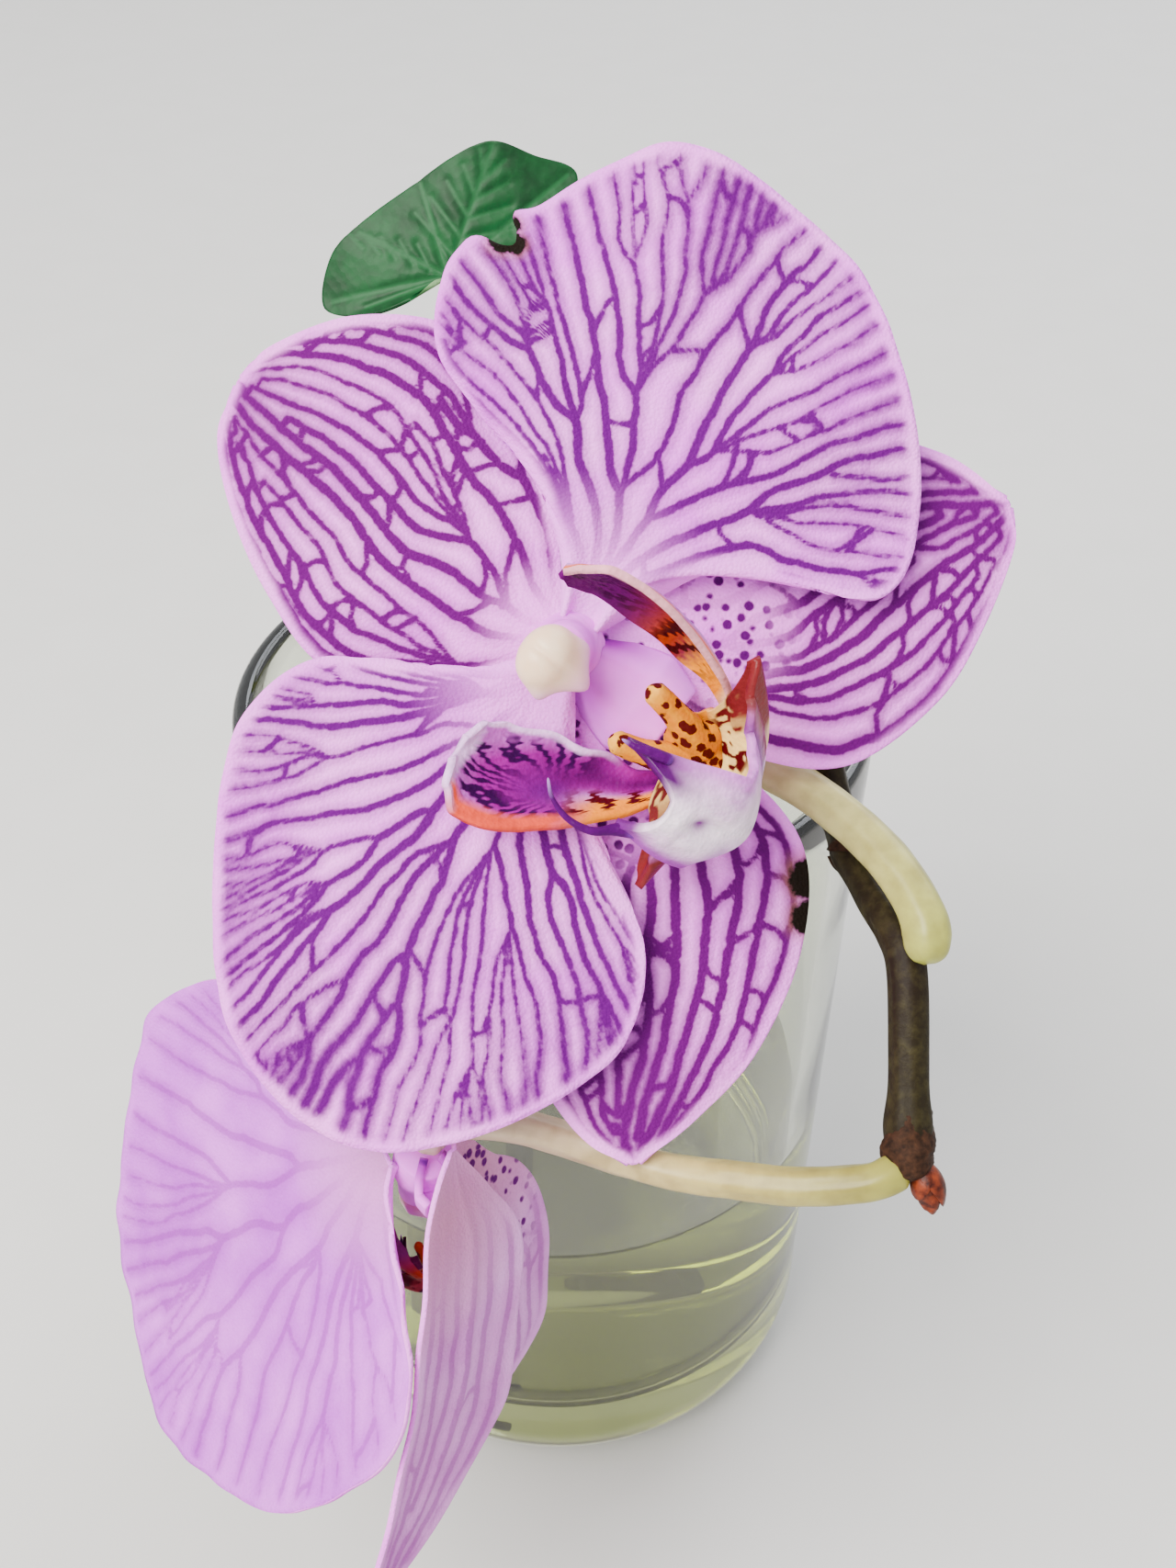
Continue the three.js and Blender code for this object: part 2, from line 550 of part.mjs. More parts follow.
part.add(flower('front_flower', FRONT_FLOWER, FRONT_TEPALS, FRONT_LIP));
part.add(flower('hanging_flower', HANGING_FLOWER, HANGING_TEPALS, HANGING_LIP, 101.5));

export default part;
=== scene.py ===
# The looks of a cut moth-orchid spray in a clear tumbler of water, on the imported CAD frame.
# A piece's own lengths are millimetres and its turns degrees, and its mesh is written in metres, as
# the camera, the lamps and the floor are.
import math
import random

import bmesh
import bpy
import numpy as np
from mathutils import Matrix, Vector
from mathutils.kdtree import KDTree


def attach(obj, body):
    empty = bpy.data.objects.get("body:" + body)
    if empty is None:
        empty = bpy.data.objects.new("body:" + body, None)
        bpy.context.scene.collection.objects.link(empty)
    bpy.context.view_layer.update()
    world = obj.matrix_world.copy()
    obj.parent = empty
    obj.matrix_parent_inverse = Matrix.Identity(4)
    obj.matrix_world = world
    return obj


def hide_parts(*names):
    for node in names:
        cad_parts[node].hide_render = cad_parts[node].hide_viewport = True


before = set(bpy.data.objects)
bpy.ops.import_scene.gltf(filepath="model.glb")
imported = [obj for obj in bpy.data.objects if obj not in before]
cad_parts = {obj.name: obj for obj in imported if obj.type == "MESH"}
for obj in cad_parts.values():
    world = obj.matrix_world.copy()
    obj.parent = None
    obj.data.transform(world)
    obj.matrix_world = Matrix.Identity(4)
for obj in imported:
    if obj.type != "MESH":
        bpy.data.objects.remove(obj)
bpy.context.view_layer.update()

# ---- Camera ----
# It stands in front of the spray, 0.23 m above the floor, and looks down at the open flower.
camera = bpy.data.objects.new("camera", bpy.data.cameras.new("camera"))
camera.location = (0.0039, -0.174, 0.230)
camera.rotation_euler = (math.radians(52), 0, 0)
camera.data.lens = 42.18
camera.data.sensor_width = 36
camera.data.clip_start = 0.01
bpy.context.collection.objects.link(camera)
bpy.context.scene.camera = camera


# ---- Floor and light ----
# A pale matt floor, one broad soft lamp over the left shoulder, a weaker one behind, a pale room.
def colour(code):
    """An sRGB hex code as a linear colour."""
    parts = [int(code[k:k + 2], 16) / 255 for k in (1, 3, 5)]
    return [c / 12.92 if c <= 0.04045 else ((c + 0.055) / 1.055) ** 2.4 for c in parts] + [1]


def add(tree, kind, inputs=None, stops=(), **settings):
    """A shader node with its settings, its inputs set or linked, and on a ramp its (place, tint) stops."""
    made = tree.nodes.new("ShaderNode" + kind)
    for name, value in settings.items():
        setattr(made, name, value)
    for name, value in (inputs or {}).items():
        socket = made.inputs[name]
        if isinstance(value, bpy.types.NodeSocket):
            tree.links.new(value, socket)
        else:
            socket.default_value = value
    for k, (place, tint) in enumerate(stops):
        stop = made.color_ramp.elements[k] if k < 2 else made.color_ramp.elements.new(place)
        stop.position = place
        stop.color = colour(tint)
    return made


def material(name, **inputs):
    """A Principled material; an underscore in an input's name stands for a space."""
    made = bpy.data.materials.new(name)
    made.use_nodes = True
    shader = made.node_tree.nodes["Principled BSDF"]
    for key, value in inputs.items():
        shader.inputs[key.replace("_", " ")].default_value = value
    return made, made.node_tree, shader


def area_light(name, place, aim, size, power, tint):
    """A round soft lamp at its place, turned to its aim."""
    lamp = bpy.data.lights.new(name, "AREA")
    lamp.shape = "DISK"
    lamp.size = size
    lamp.energy = power
    lamp.color = colour(tint)[:3]
    holder = bpy.data.objects.new(name, lamp)
    holder.location = place
    holder.rotation_euler = (Vector(aim) - Vector(place)).to_track_quat("-Z", "Y").to_euler()
    bpy.context.collection.objects.link(holder)


area_light("soft_key", (-0.55, -0.55, 0.95), (0, -0.03, 0.1), 0.9, 34, "#FFFAF2")
area_light("soft_back", (0.5, 0.7, 0.8), (0, 0, 0.08), 0.8, 8, "#F2F6FF")
world = bpy.data.worlds.new("room")
world.use_nodes = True
world.node_tree.nodes["Background"].inputs["Color"].default_value = colour("#EDEEF0")
world.node_tree.nodes["Background"].inputs["Strength"].default_value = 1.4
bpy.context.scene.world = world

floor_paint, tree, shader = material("floor_paint", Roughness=0.55, IOR=1.45)
where = add(tree, "TexCoord").outputs["Object"]
grain = add(tree, "TexNoise", {"Vector": where, "Scale": 55, "Detail": 3})
tone = add(tree, "ValToRGB", {"Fac": grain.outputs["Fac"]}, ((0, "#CBCAC7"), (1, "#D1D0CE")))
tree.links.new(tone.outputs["Color"], shader.inputs["Base Color"])
bm = bmesh.new()
bmesh.ops.create_grid(bm, x_segments=4, y_segments=4, size=3)
bmesh.ops.translate(bm, verts=bm.verts, vec=(0, 0, -0.0004))
floor_mesh = bpy.data.meshes.new("floor")
bm.to_mesh(floor_mesh)
bm.free()
floor_mesh.materials.append(floor_paint)
floor = bpy.data.objects.new("floor", floor_mesh)
bpy.context.collection.objects.link(floor)


# ---- Glass tumbler ----
# Clear pressed soda-lime glass, 2.4 mm thick at the rim and 11 mm in the foot, with a fire-rounded
# rim. Its wall has the slight ripple that the mould leaves.
MM = 0.001
TUMBLER_HEIGHT = 108
RIM_RADIUS = 37
SHOULDER_RADIUS = 34
HEEL = 11
INNER_HEEL = 9
WALL = 2.4
FOOT = 11


def finished(bm, name, paint, nodes):
    """Makes a finished shape a smooth piece that stands for its nodes."""
    for face in bm.faces:
        face.smooth = True
    mesh = bpy.data.meshes.new(name)
    bm.to_mesh(mesh)
    bm.free()
    for each in paint if isinstance(paint, list) else [paint]:
        mesh.materials.append(each)
    made = bpy.data.objects.new(name, mesh)
    bpy.context.collection.objects.link(made)
    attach(made, "root")
    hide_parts(*nodes)
    return made


def grid_piece(name, rows, columns, place, paint, nodes, marks=None, matrix=None, weld=False):
    """A grid bent to place(u, v), in millimetres; marks are numbers or tints kept at its points."""
    bm = bmesh.new()
    bmesh.ops.create_grid(bm, x_segments=rows, y_segments=columns, size=1)
    flat = np.array([corner.co[:2] for corner in bm.verts])
    u = (flat[:, 0] + 1) / 2
    v = (1 - flat[:, 1]) / 2
    points = place(u, v)
    for mark, values in (marks(u, v) if marks else {}).items():
        tints = np.ndim(values) > 1
        layer = bm.verts.layers.float_color.new(mark) if tints else bm.verts.layers.float.new(mark)
        for corner, value in zip(bm.verts, values):
            corner[layer] = (*value, 1) if tints else value
    for corner, point in zip(bm.verts, points):
        corner.co = point * MM
    if weld:
        bmesh.ops.remove_doubles(bm, verts=bm.verts, dist=1e-6)
        bmesh.ops.recalc_face_normals(bm, faces=bm.faces)
    if matrix:
        bmesh.ops.transform(bm, matrix=matrix, verts=bm.verts)
    return finished(bm, name, paint, nodes)


def curve(points):
    """A smooth line through the points, read by share of its length."""
    p = np.array([list(q) + [0] * (3 - len(q)) for q in points], float)
    p = np.vstack([2 * p[0] - p[1], p, 2 * p[-1] - p[-2]])
    t = np.linspace(0, 1, 40, endpoint=False)[:, None]
    line = np.vstack([
        0.5 * (2 * b + (c - a) * t + (2 * a - 5 * b + 4 * c - d) * t ** 2 + (3 * b - a - 3 * c + d) * t ** 3)
        for a, b, c, d in zip(p, p[1:], p[2:], p[3:])
    ] + [p[-2][None]])
    length = np.concatenate([[0], np.cumsum(np.linalg.norm(np.diff(line, axis=0), axis=1))])
    length /= length[-1]
    return lambda at: np.column_stack([np.interp(at, length, line[:, k]) for k in range(3)])


def arc(centre, radius, start, end, count):
    """Points of a round stretch of a profile, from one angle to the other."""
    turn = np.radians(np.linspace(start, end, count + 1))
    return np.column_stack([centre[0] + radius * np.cos(turn), centre[1] + radius * np.sin(turn)])


def lathe(profile, ripple=0.0):
    """place(u, v) of a form turned about Z from a profile of (radius, height)."""
    profile = np.array(profile)
    along = np.linspace(0, 1, len(profile))

    def place(u, v):
        radius = np.interp(u, along, profile[:, 0])
        height = np.interp(u, along, profile[:, 1])
        turn = 2 * np.pi * v
        radius = radius * (1 + ripple * np.sin(3 * turn + height / 17) * (radius > 5))
        return np.column_stack([radius * np.cos(turn), radius * np.sin(turn), height])
    return place


def outer_radius(z):
    return SHOULDER_RADIUS + (RIM_RADIUS - SHOULDER_RADIUS) / (TUMBLER_HEIGHT - HEEL) * (z - HEEL)


def inner_radius(z):
    return outer_radius(z) - WALL - 0.6 * (1 - z / TUMBLER_HEIGHT)


glass, tree, shader = material(
    "tumbler_glass", Transmission_Weight=1, IOR=1.52, Roughness=0.012, Base_Color=colour("#E9EDDD"),
)
where = add(tree, "TexCoord").outputs["Object"]
mould_marks = add(tree, "TexNoise", {"Vector": where, "Scale": 38, "Detail": 1})
wave = add(tree, "Bump", {"Height": mould_marks.outputs["Fac"], "Strength": 0.12, "Distance": 0.001})
tree.links.new(wave.outputs["Normal"], shader.inputs["Normal"])
rim_round = WALL / 2
rim_z = TUMBLER_HEIGHT - rim_round
inner_elbow = FOOT + INNER_HEEL
walls = np.vstack([
    [[0.0, 0.9], [9, 0.9], [17, 0.5]], arc((23.2, HEEL), HEEL, -90, 0, 14),
    [[outer_radius(z), z] for z in range(16, 106, 6)],
    arc((outer_radius(rim_z) - rim_round, rim_z), rim_round, 0, 180, 10),
    [[inner_radius(z), z] for z in range(102, 22, -6)],
    arc((inner_radius(inner_elbow) - INNER_HEEL, inner_elbow), INNER_HEEL, 0, -90, 12),
    [[10, 11.3], [0.0, FOOT]],
])
grid_piece("tumbler", len(walls) - 1, 144, lathe(walls, 0.0015), glass, ["glass_tumbler"], weld=True)

# ---- Water ----
# Still tap water to 48 mm, faintly green from the stem. It wets the glass and climbs it in a
# meniscus, and no air shows between the two.
WATER_LEVEL = 48
WET = 0.12
water_paint, tree, shader = material(
    "tap_water", Transmission_Weight=1, IOR=1.333, Roughness=0.0, Base_Color=colour("#ABAE6C"),
)
where = add(tree, "TexCoord").outputs["Object"]
swell = add(tree, "TexNoise", {"Vector": where, "Scale": 24, "Detail": 1})
still = add(tree, "Bump", {"Height": swell.outputs["Fac"], "Strength": 0.05, "Distance": 0.001})
tree.links.new(still.outputs["Normal"], shader.inputs["Normal"])
sides = inner_radius(WATER_LEVEL) + WET
meniscus = [[0, -0.5], [0, 0], [-0.5, -0.35], [-1.6, -0.6], [-4, -0.72], [-sides, -0.75]]
pool = np.vstack([
    [[0.0, 10.9]],
    arc((inner_radius(inner_elbow) - INNER_HEEL, inner_elbow), INNER_HEEL + WET, -90, 0, 12),
    [[inner_radius(z) + WET, z] for z in range(24, WATER_LEVEL, 6)],
    [[sides + x, WATER_LEVEL + z] for x, z in meniscus],
])
grid_piece("water_body", len(pool) - 1, 144, lathe(pool), water_paint, ["water"], weld=True)

# ---- Flower stem ----
# A living stem 3.7 mm thick, almost black-brown with olive speckles and fine length-wise furrows,
# swollen at its knuckles, where a dry sheath clasps it. Cut square at its lower end.
STEM_PATH = [
    [-6, 0, 12.2], [-4.6, -16, 60], [-3, -31, 104], [-1, -31, 121], [4, -24.5, 136.5], [12, -18.5, 144.5],
    [20, -19.5, 141], [25.8, -25.5, 131.5], [27.2, -32, 120.5], [29, -38, 117], [30.6, -44.3, 115.7],
    [32.2, -49.2, 115.2], [33, -52.5, 113.6], [33, -58, 108], [32.8, -63.6, 101.8],
]
KNUCKLES = [0.33, 0.58, 0.862, 0.99]
SHARE, UNDER, OVER, MIXED = 0, 6, 7, 2  # sockets of a mix of tints: how much, the two tints and the result


def tube(path, radius, span=(0.0, 1.0), flutes=0, flute_depth=0.0, seed=1):
    """place(u, v) of a round body along a path; radius(t) is its half thickness."""
    line = curve(path)
    fine = line(np.linspace(0, 1, 400))
    tangents = np.gradient(fine, axis=0)
    tangents /= np.linalg.norm(tangents, axis=1)[:, None]
    side = np.cross(tangents[0], [0.3, 0.2, 1.0])
    sides = []
    for tangent in tangents:
        side = side - tangent * side.dot(tangent)
        side = side / np.linalg.norm(side)
        sides.append(side)
    sides = np.array(sides)
    ups = np.cross(tangents, sides)
    share = np.linspace(0, 1, 400)

    def place(u, v):
        t = span[0] + (span[1] - span[0]) * u
        turn = 2 * np.pi * v
        lumps = 1 + 0.018 * np.sin(9 * turn + 31 * t + seed) * np.sin(47 * t + 2 * seed)
        furrow = flute_depth * np.cos(flutes * turn + 3 * np.sin(6 * t)) if flutes else 0
        half = (radius(t) * lumps + furrow * (radius(t) > 0.6))[:, None]
        read = lambda rows: np.column_stack([np.interp(t, share, rows[:, k]) for k in range(3)])
        return read(fine) + half * (np.cos(turn)[:, None] * read(sides) + np.sin(turn)[:, None] * read(ups))
    return place


def along_marks(u, v):
    return {"along": u, "around": v}


def closed(radius, length, start=True, end=True, rounding=1.0):
    """The same radius, closed to a rounded end over its last millimetre or so."""
    def read(t):
        share = np.ones_like(t)
        if start:
            share = share * np.sqrt(np.clip(1 - (1 - np.clip(t * length / rounding, 0, 1)) ** 2, 0, 1))
        if end:
            share = share * np.sqrt(np.clip(1 - (1 - np.clip((1 - t) * length / rounding, 0, 1)) ** 2, 0, 1))
        return radius(t) * share
    return read


def stem_radius(t):
    swell = sum(0.4 * np.exp(-(((t - at) / 0.010) ** 2)) for at in KNUCKLES)
    return 1.85 + swell


stem_paint, tree, shader = material("living_stem", Roughness=0.5, IOR=1.45, Specular_IOR_Level=0.12)
where = add(tree, "TexCoord").outputs["Object"]
blotch = add(tree, "TexNoise", {"Vector": where, "Scale": 700, "Detail": 4, "Roughness": 0.65})
broad = add(tree, "TexNoise", {"Vector": where, "Scale": 90, "Detail": 2})
speckle = add(tree, "ValToRGB", {"Fac": blotch.outputs["Fac"]}, ((0.42, "#150E08"), (0.7, "#38331C")))
cloud = add(tree, "ValToRGB", {"Fac": broad.outputs["Fac"]}, ((0.35, "#21170E"), (0.7, "#282311")))
both = {SHARE: 0.45, UNDER: speckle.outputs["Color"], OVER: cloud.outputs["Color"]}
tree.links.new(add(tree, "Mix", both, data_type="RGBA").outputs[MIXED], shader.inputs["Base Color"])
skin = add(tree, "Bump", {"Height": blotch.outputs["Fac"], "Strength": 0.5, "Distance": 0.0002})
tree.links.new(skin.outputs["Normal"], shader.inputs["Normal"])
grid_piece(
    "stem", 420, 28, tube(STEM_PATH, closed(stem_radius, 270, rounding=0.5), flutes=7, flute_depth=0.05),
    stem_paint, ["flower_spike"], along_marks, weld=True,
)

sheath_paint, tree, shader = material("dry_sheath", Roughness=0.7, IOR=1.4, Specular_IOR_Level=0.15)
where = add(tree, "TexCoord").outputs["Object"]
fibre = add(tree, "TexNoise", {"Vector": where, "Scale": 1500, "Detail": 3})
ramp = add(tree, "ValToRGB", {"Fac": fibre.outputs["Fac"]}, ((0.3, "#190E08"), (0.75, "#40281A")))
tree.links.new(ramp.outputs["Color"], shader.inputs["Base Color"])
paper = add(tree, "Bump", {"Height": fibre.outputs["Fac"], "Strength": 0.6, "Distance": 0.0002})
tree.links.new(paper.outputs["Normal"], shader.inputs["Normal"])


def thicken(sheet, thickness, offset=0.0, inner=0):
    """Gives a thin sheet its thickness in millimetres; inner counts on to its other side's paint."""
    wall = sheet.modifiers.new("thickness", "SOLIDIFY")
    wall.thickness = thickness * MM
    wall.offset = offset
    wall.material_offset = inner
    return sheet


def sheath(name, at, reach, turn, swell):
    """A clasping scale: most of the way round at its foot, drawn to a point along the stem."""
    foot = at - 0.004
    round_stem = tube(STEM_PATH, lambda t: stem_radius(t) + 0.16, span=(foot, foot + reach))

    def place(u, v):
        width = 0.46 * (1 - u) ** 0.55
        points = round_stem(u, turn + (v - 0.5) * 2 * width)
        centre = curve(STEM_PATH)(foot + reach * u)
        return centre + (points - centre) * (1 + swell * u * u)[:, None]
    scale = grid_piece(name, 16, 22, place, sheath_paint, ["flower_spike"], along_marks)
    thicken(scale, 0.25, offset=1)


sheath("sheath_low", 0.33, 0.034, 0.2, 0.05)
sheath("sheath_arch", 0.58, 0.03, 0.65, 0.06)
sheath("sheath_knee", 0.862, 0.018, 0.1, 0.1)
TIP_PATH = [[33, -60.6, 105], [32.9, -62.6, 103], [32.8, -64.2, 101.4], [33.4, -65.6, 99.9]]
tip_radius = lambda t: np.interp(t, [0, 0.25, 0.6, 0.85, 1], [1.9, 2.1, 2.45, 2.2, 1.5])
grid_piece(
    "tip_knuckle", 60, 32, tube(TIP_PATH, closed(tip_radius, 7.4, rounding=1.0), flutes=3, flute_depth=0.12),
    sheath_paint, ["flower_spike"], along_marks, weld=True,
)

# ---- Tip bud ----
# A stopped bud, red-brown and waxy, of three overlapping scales round a narrow heart.
BUD_PATH = [[33.6, -64.6, 100.9], [34.5, -65.8, 99.6], [35, -67.4, 97.4]]
bud_paint, tree, shader = material("stopped_bud", Roughness=0.4, IOR=1.45, Specular_IOR_Level=0.2)
where = add(tree, "TexCoord").outputs["Object"]
fine = add(tree, "TexNoise", {"Vector": where, "Scale": 1100, "Detail": 3})
ramp = add(tree, "ValToRGB", {"Fac": fine.outputs["Fac"]}, ((0.35, "#2E0C08"), (0.7, "#7A3218")))
tree.links.new(ramp.outputs["Color"], shader.inputs["Base Color"])
wax = add(tree, "Bump", {"Height": fine.outputs["Fac"], "Strength": 0.4, "Distance": 0.0002})
tree.links.new(wax.outputs["Normal"], shader.inputs["Normal"])
bud_radius = lambda t: 0.25 + 1.0 * np.sin(np.pi * (0.12 + 0.86 * t))
grid_piece(
    "bud_heart", 40, 24, tube(BUD_PATH, closed(bud_radius, 4.4, rounding=0.8), flutes=3, flute_depth=0.12),
    bud_paint, ["tip_bud"], along_marks, weld=True,
)


def bud_scale(name, turn, reach):
    """A scale that lies on the heart, wide at its foot and drawn to a point."""
    round_heart = tube(BUD_PATH, lambda t: bud_radius(t) + 0.14, span=(0.0, reach))

    def place(u, v):
        return round_heart(u, turn + (v - 0.5) * 0.6 * (1 - u) ** 0.6)
    thicken(grid_piece(name, 18, 12, place, bud_paint, ["tip_bud"], along_marks), 0.2, offset=1)


for k, turn in enumerate((0.05, 0.4, 0.72)):
    bud_scale(f"bud_scale_{k + 1}", turn, 0.62 + 0.1 * k)

# ---- Flower stalks ----
# Two waxy stalks with shallow winding furrows: yellow-green where they leave the stem, paling to
# cream and a pink flush at the flower.
FRONT_STALK_PATH = [
    [33.9, -54.6, 116.2], [34.1, -52.4, 118.9], [32.6, -48.5, 120.6], [30.1, -44.2, 121.7],
    [26.7, -39.8, 122.4], [23.3, -36.3, 122.8], [18, -32.4, 123.7], [12.8, -29.4, 125.6], [7.4, -27.6, 128.9],
    [3.7, -29.2, 133.1], [2.2, -32, 134.6], [2.2, -33.4, 135.8],
]
HANGING_STALK_PATH = [
    [32.4, -64.6, 100.6], [29.9, -65.8, 100.2], [26.7, -65.5, 99.2], [22.3, -64.6, 98], [17.5, -62.9, 96.8],
    [12.5, -60.9, 95.4], [7.4, -58.8, 94.9], [2.1, -57.1, 95.6], [-3, -56.8, 97.4], [-7.6, -57.9, 99.1],
    [-10.3, -59, 99.2], [-11.2, -59.0, 96.8],
]


def stalk_material(name, near, middle, far):
    """near, middle and far are its colours at the stem, half way and at the flower."""
    made, tree, shader = material(
        name, Roughness=0.38, IOR=1.45, Subsurface_Weight=0.15, Subsurface_Radius=(0.9, 0.6, 0.3),
        Subsurface_Scale=0.001,
    )
    where = add(tree, "TexCoord").outputs["Object"]
    along = add(tree, "Attribute", attribute_name="along").outputs["Fac"]
    run = add(tree, "ValToRGB", {"Fac": along}, ((0, near), (1, far), (0.4, middle)))
    mottle = add(tree, "TexNoise", {"Vector": where, "Scale": 380, "Detail": 4})
    shade = add(tree, "ValToRGB", {"Fac": mottle.outputs["Fac"]}, ((0.3, "#C9C2B0"), (0.6, "#FFFFFF")))
    both = {SHARE: 0.7, UNDER: run.outputs["Color"], OVER: shade.outputs["Color"]}
    mix = add(tree, "Mix", both, data_type="RGBA", blend_type="MULTIPLY")
    tree.links.new(mix.outputs[MIXED], shader.inputs["Base Color"])
    skin = add(tree, "Bump", {"Height": mottle.outputs["Fac"], "Strength": 0.25, "Distance": 0.0003})
    tree.links.new(skin.outputs["Normal"], shader.inputs["Normal"])
    return made


front_stalk_radius = lambda t: np.interp(t, [0, 0.05, 0.12, 0.5, 0.9, 1], [1.9, 2.25, 2.1, 2.0, 2.0, 1.9])
hanging_stalk_radius = lambda t: np.interp(t, [0, 0.06, 0.5, 1], [1.9, 1.75, 1.7, 1.6])
front_stalk_end = closed(front_stalk_radius, 66, rounding=2.2)
hanging_stalk_end = closed(hanging_stalk_radius, 52, rounding=1.4)
grid_piece(
    "front_stalk", 200, 28, tube(FRONT_STALK_PATH, front_stalk_end, flutes=6, flute_depth=0.07, seed=4),
    stalk_material("front_stalk_skin", "#9A9C40", "#C6BE7E", "#DCD2B4"),
    ["front_flower_stalk"], along_marks, weld=True,
)
grid_piece(
    "hanging_stalk", 200, 28, tube(HANGING_STALK_PATH, hanging_stalk_end, flutes=6, flute_depth=0.07, seed=8),
    stalk_material("hanging_stalk_skin", "#8C8A34", "#B4A262", "#D0B8A4"),
    ["hanging_flower_stalk"], along_marks, weld=True,
)


# ---- Leaf ----
# One tough ivy-like leaf behind the flower: dark satin green with paler veins pressed into it and
# a paler underside, on a thin round stalk that stands in the water.
def fan(margin, straightness):
    """place(ray, v): rays leave the claw side by side and bend out to the margin."""
    edge = curve(margin)
    first, last = edge(np.zeros(1))[0], edge(np.ones(1))[0]

    def place(ray, v):
        end = edge(v)
        start = first + (last - first) * v[:, None]
        bend = start + straightness * np.linalg.norm(end - start, axis=1)[:, None] * np.array([1, 0, 0])
        r = ray[:, None]
        return (1 - r) ** 2 * start + 2 * r * (1 - r) * bend + r * r * end
    return place


def flower_frame(middle, face):
    """The frame of a flower: X to its right, Z out of its face."""
    normal = Vector(face).normalized()
    right = Vector((1, 0, 0))
    right = (right - normal * right.dot(normal)).normalized()
    turn = Matrix((right, normal.cross(right), normal)).transposed().to_4x4()
    return Matrix.Translation(Vector(middle) * MM) @ turn


def turned(z, y=0.0, x=0.0):
    """Turns about X, then Y, then Z, in degrees."""
    spin = [Matrix.Rotation(math.radians(angle), 4, axis) for angle, axis in ((z, "Z"), (y, "Y"), (x, "X"))]
    return spin[0] @ spin[1] @ spin[2]


FACE = (0, -0.788, 0.616)
LEAF_JOINT = (-13.1, 38.8, 141.6)
LEAF_MARGIN = [
    [-1, 1.2], [-5, 3.8], [-8, 8], [-8.8, 13.2], [-2.5, 14.4], [3.5, 11.4], [9, 7.6], [13.4, 4.2],
    [16.6, 0.6], [17, -4.5], [17.2, -9.8], [12, -11.2], [5, -13], [-2.5, -14.4], [-8.8, -13.2], [-8, -8],
    [-5, -3.8], [-1, -1.2],
]
LEAF_TIPS = [[16, 0.4], [16.4, -9], [-7.8, 12.4], [1, 12], [9, 7], [-7.8, -12], [4.6, -12.2], [-7, 8]]
leaf_edge = curve(LEAF_MARGIN)
leaf_flow = lambda u, v: leaf_edge(v) * (0.02 + 0.98 * u)[:, None]


def distance_to(points, spots):
    """For each point, how far the nearest spot is, and that spot's number."""
    tree = KDTree(len(spots))
    for k, spot in enumerate(spots):
        tree.insert((spot[0], spot[1], 0), k)
    tree.balance()
    found = [tree.find((x, y, 0))[1:] for x, y in points]
    return np.array([f[1] for f in found]), np.array([f[0] for f in found])


def sampled(line, step=0.15):
    """A broken line's points, no further than step apart."""
    runs = []
    for a, b in zip(line, line[1:]):
        a, b = np.array(a), np.array(b)
        count = max(1, int(np.linalg.norm(b[:2] - a[:2]) / step))
        runs += [a + (b - a) * k / count for k in range(count)]
    return runs + [np.array(line[-1])]


leaf_ribs = []
for tip in LEAF_TIPS:
    leaf_ribs += sampled([[0, 0, 0.5], [tip[0], tip[1], 0.2]])
for k in range(1, 6):
    for side in (-1, 1):
        leaf_ribs += sampled([[2.4 * k, 0, 0.25], [2.4 * k + 3.2, side * (7.6 - 1.2 * k), 0.1]])
        leaf_ribs += sampled([[-0.1 * k, side * 2.2 * k, 0.22], [2.6 - 0.4 * k, side * (2.2 * k + 2.6), 0.1]])
leaf_ribs = np.array(leaf_ribs)


def leaf_place(u, v):
    point = leaf_flow(u, v)
    far, _ = distance_to(point[:, :2], leaf_ribs)
    groove = 0.35 * np.exp(-(far / 0.7) ** 2) * (1 - 0.5 * u)
    point[:, 2] = -0.012 * point[:, 1] ** 2 + 0.6 * u ** 2 * np.sin(10 * np.pi * v) - groove + 0.2
    return point


def leaf_marks(u, v):
    far, which = distance_to(leaf_flow(u, v)[:, :2], leaf_ribs)
    return {"vein": far - leaf_ribs[which.astype(int), 2]}


def leaf_material(name, ground, dark, vein):
    made, tree, shader = material(name, Roughness=0.46, IOR=1.4, Specular_IOR_Level=0.25)
    where = add(tree, "TexCoord").outputs["Object"]
    mottle = add(tree, "TexNoise", {"Vector": where, "Scale": 260, "Detail": 5, "Roughness": 0.6})
    ramp = add(tree, "ValToRGB", {"Fac": mottle.outputs["Fac"]}, ((0.35, dark), (0.65, ground)))
    far = add(tree, "Attribute", attribute_name="vein").outputs["Fac"]
    line = add(tree, "MapRange", {"Value": far, "From Min": 0.25, "From Max": -0.1})
    both = {SHARE: line.outputs["Result"], UNDER: ramp.outputs["Color"], OVER: colour(vein)}
    tree.links.new(add(tree, "Mix", both, data_type="RGBA").outputs[MIXED], shader.inputs["Base Color"])
    cells = add(tree, "TexVoronoi", {"Vector": where, "Scale": 900})
    bump = add(tree, "Bump", {"Height": cells.outputs["Distance"], "Strength": 0.25, "Distance": 0.0002})
    tree.links.new(bump.outputs["Normal"], shader.inputs["Normal"])
    return made


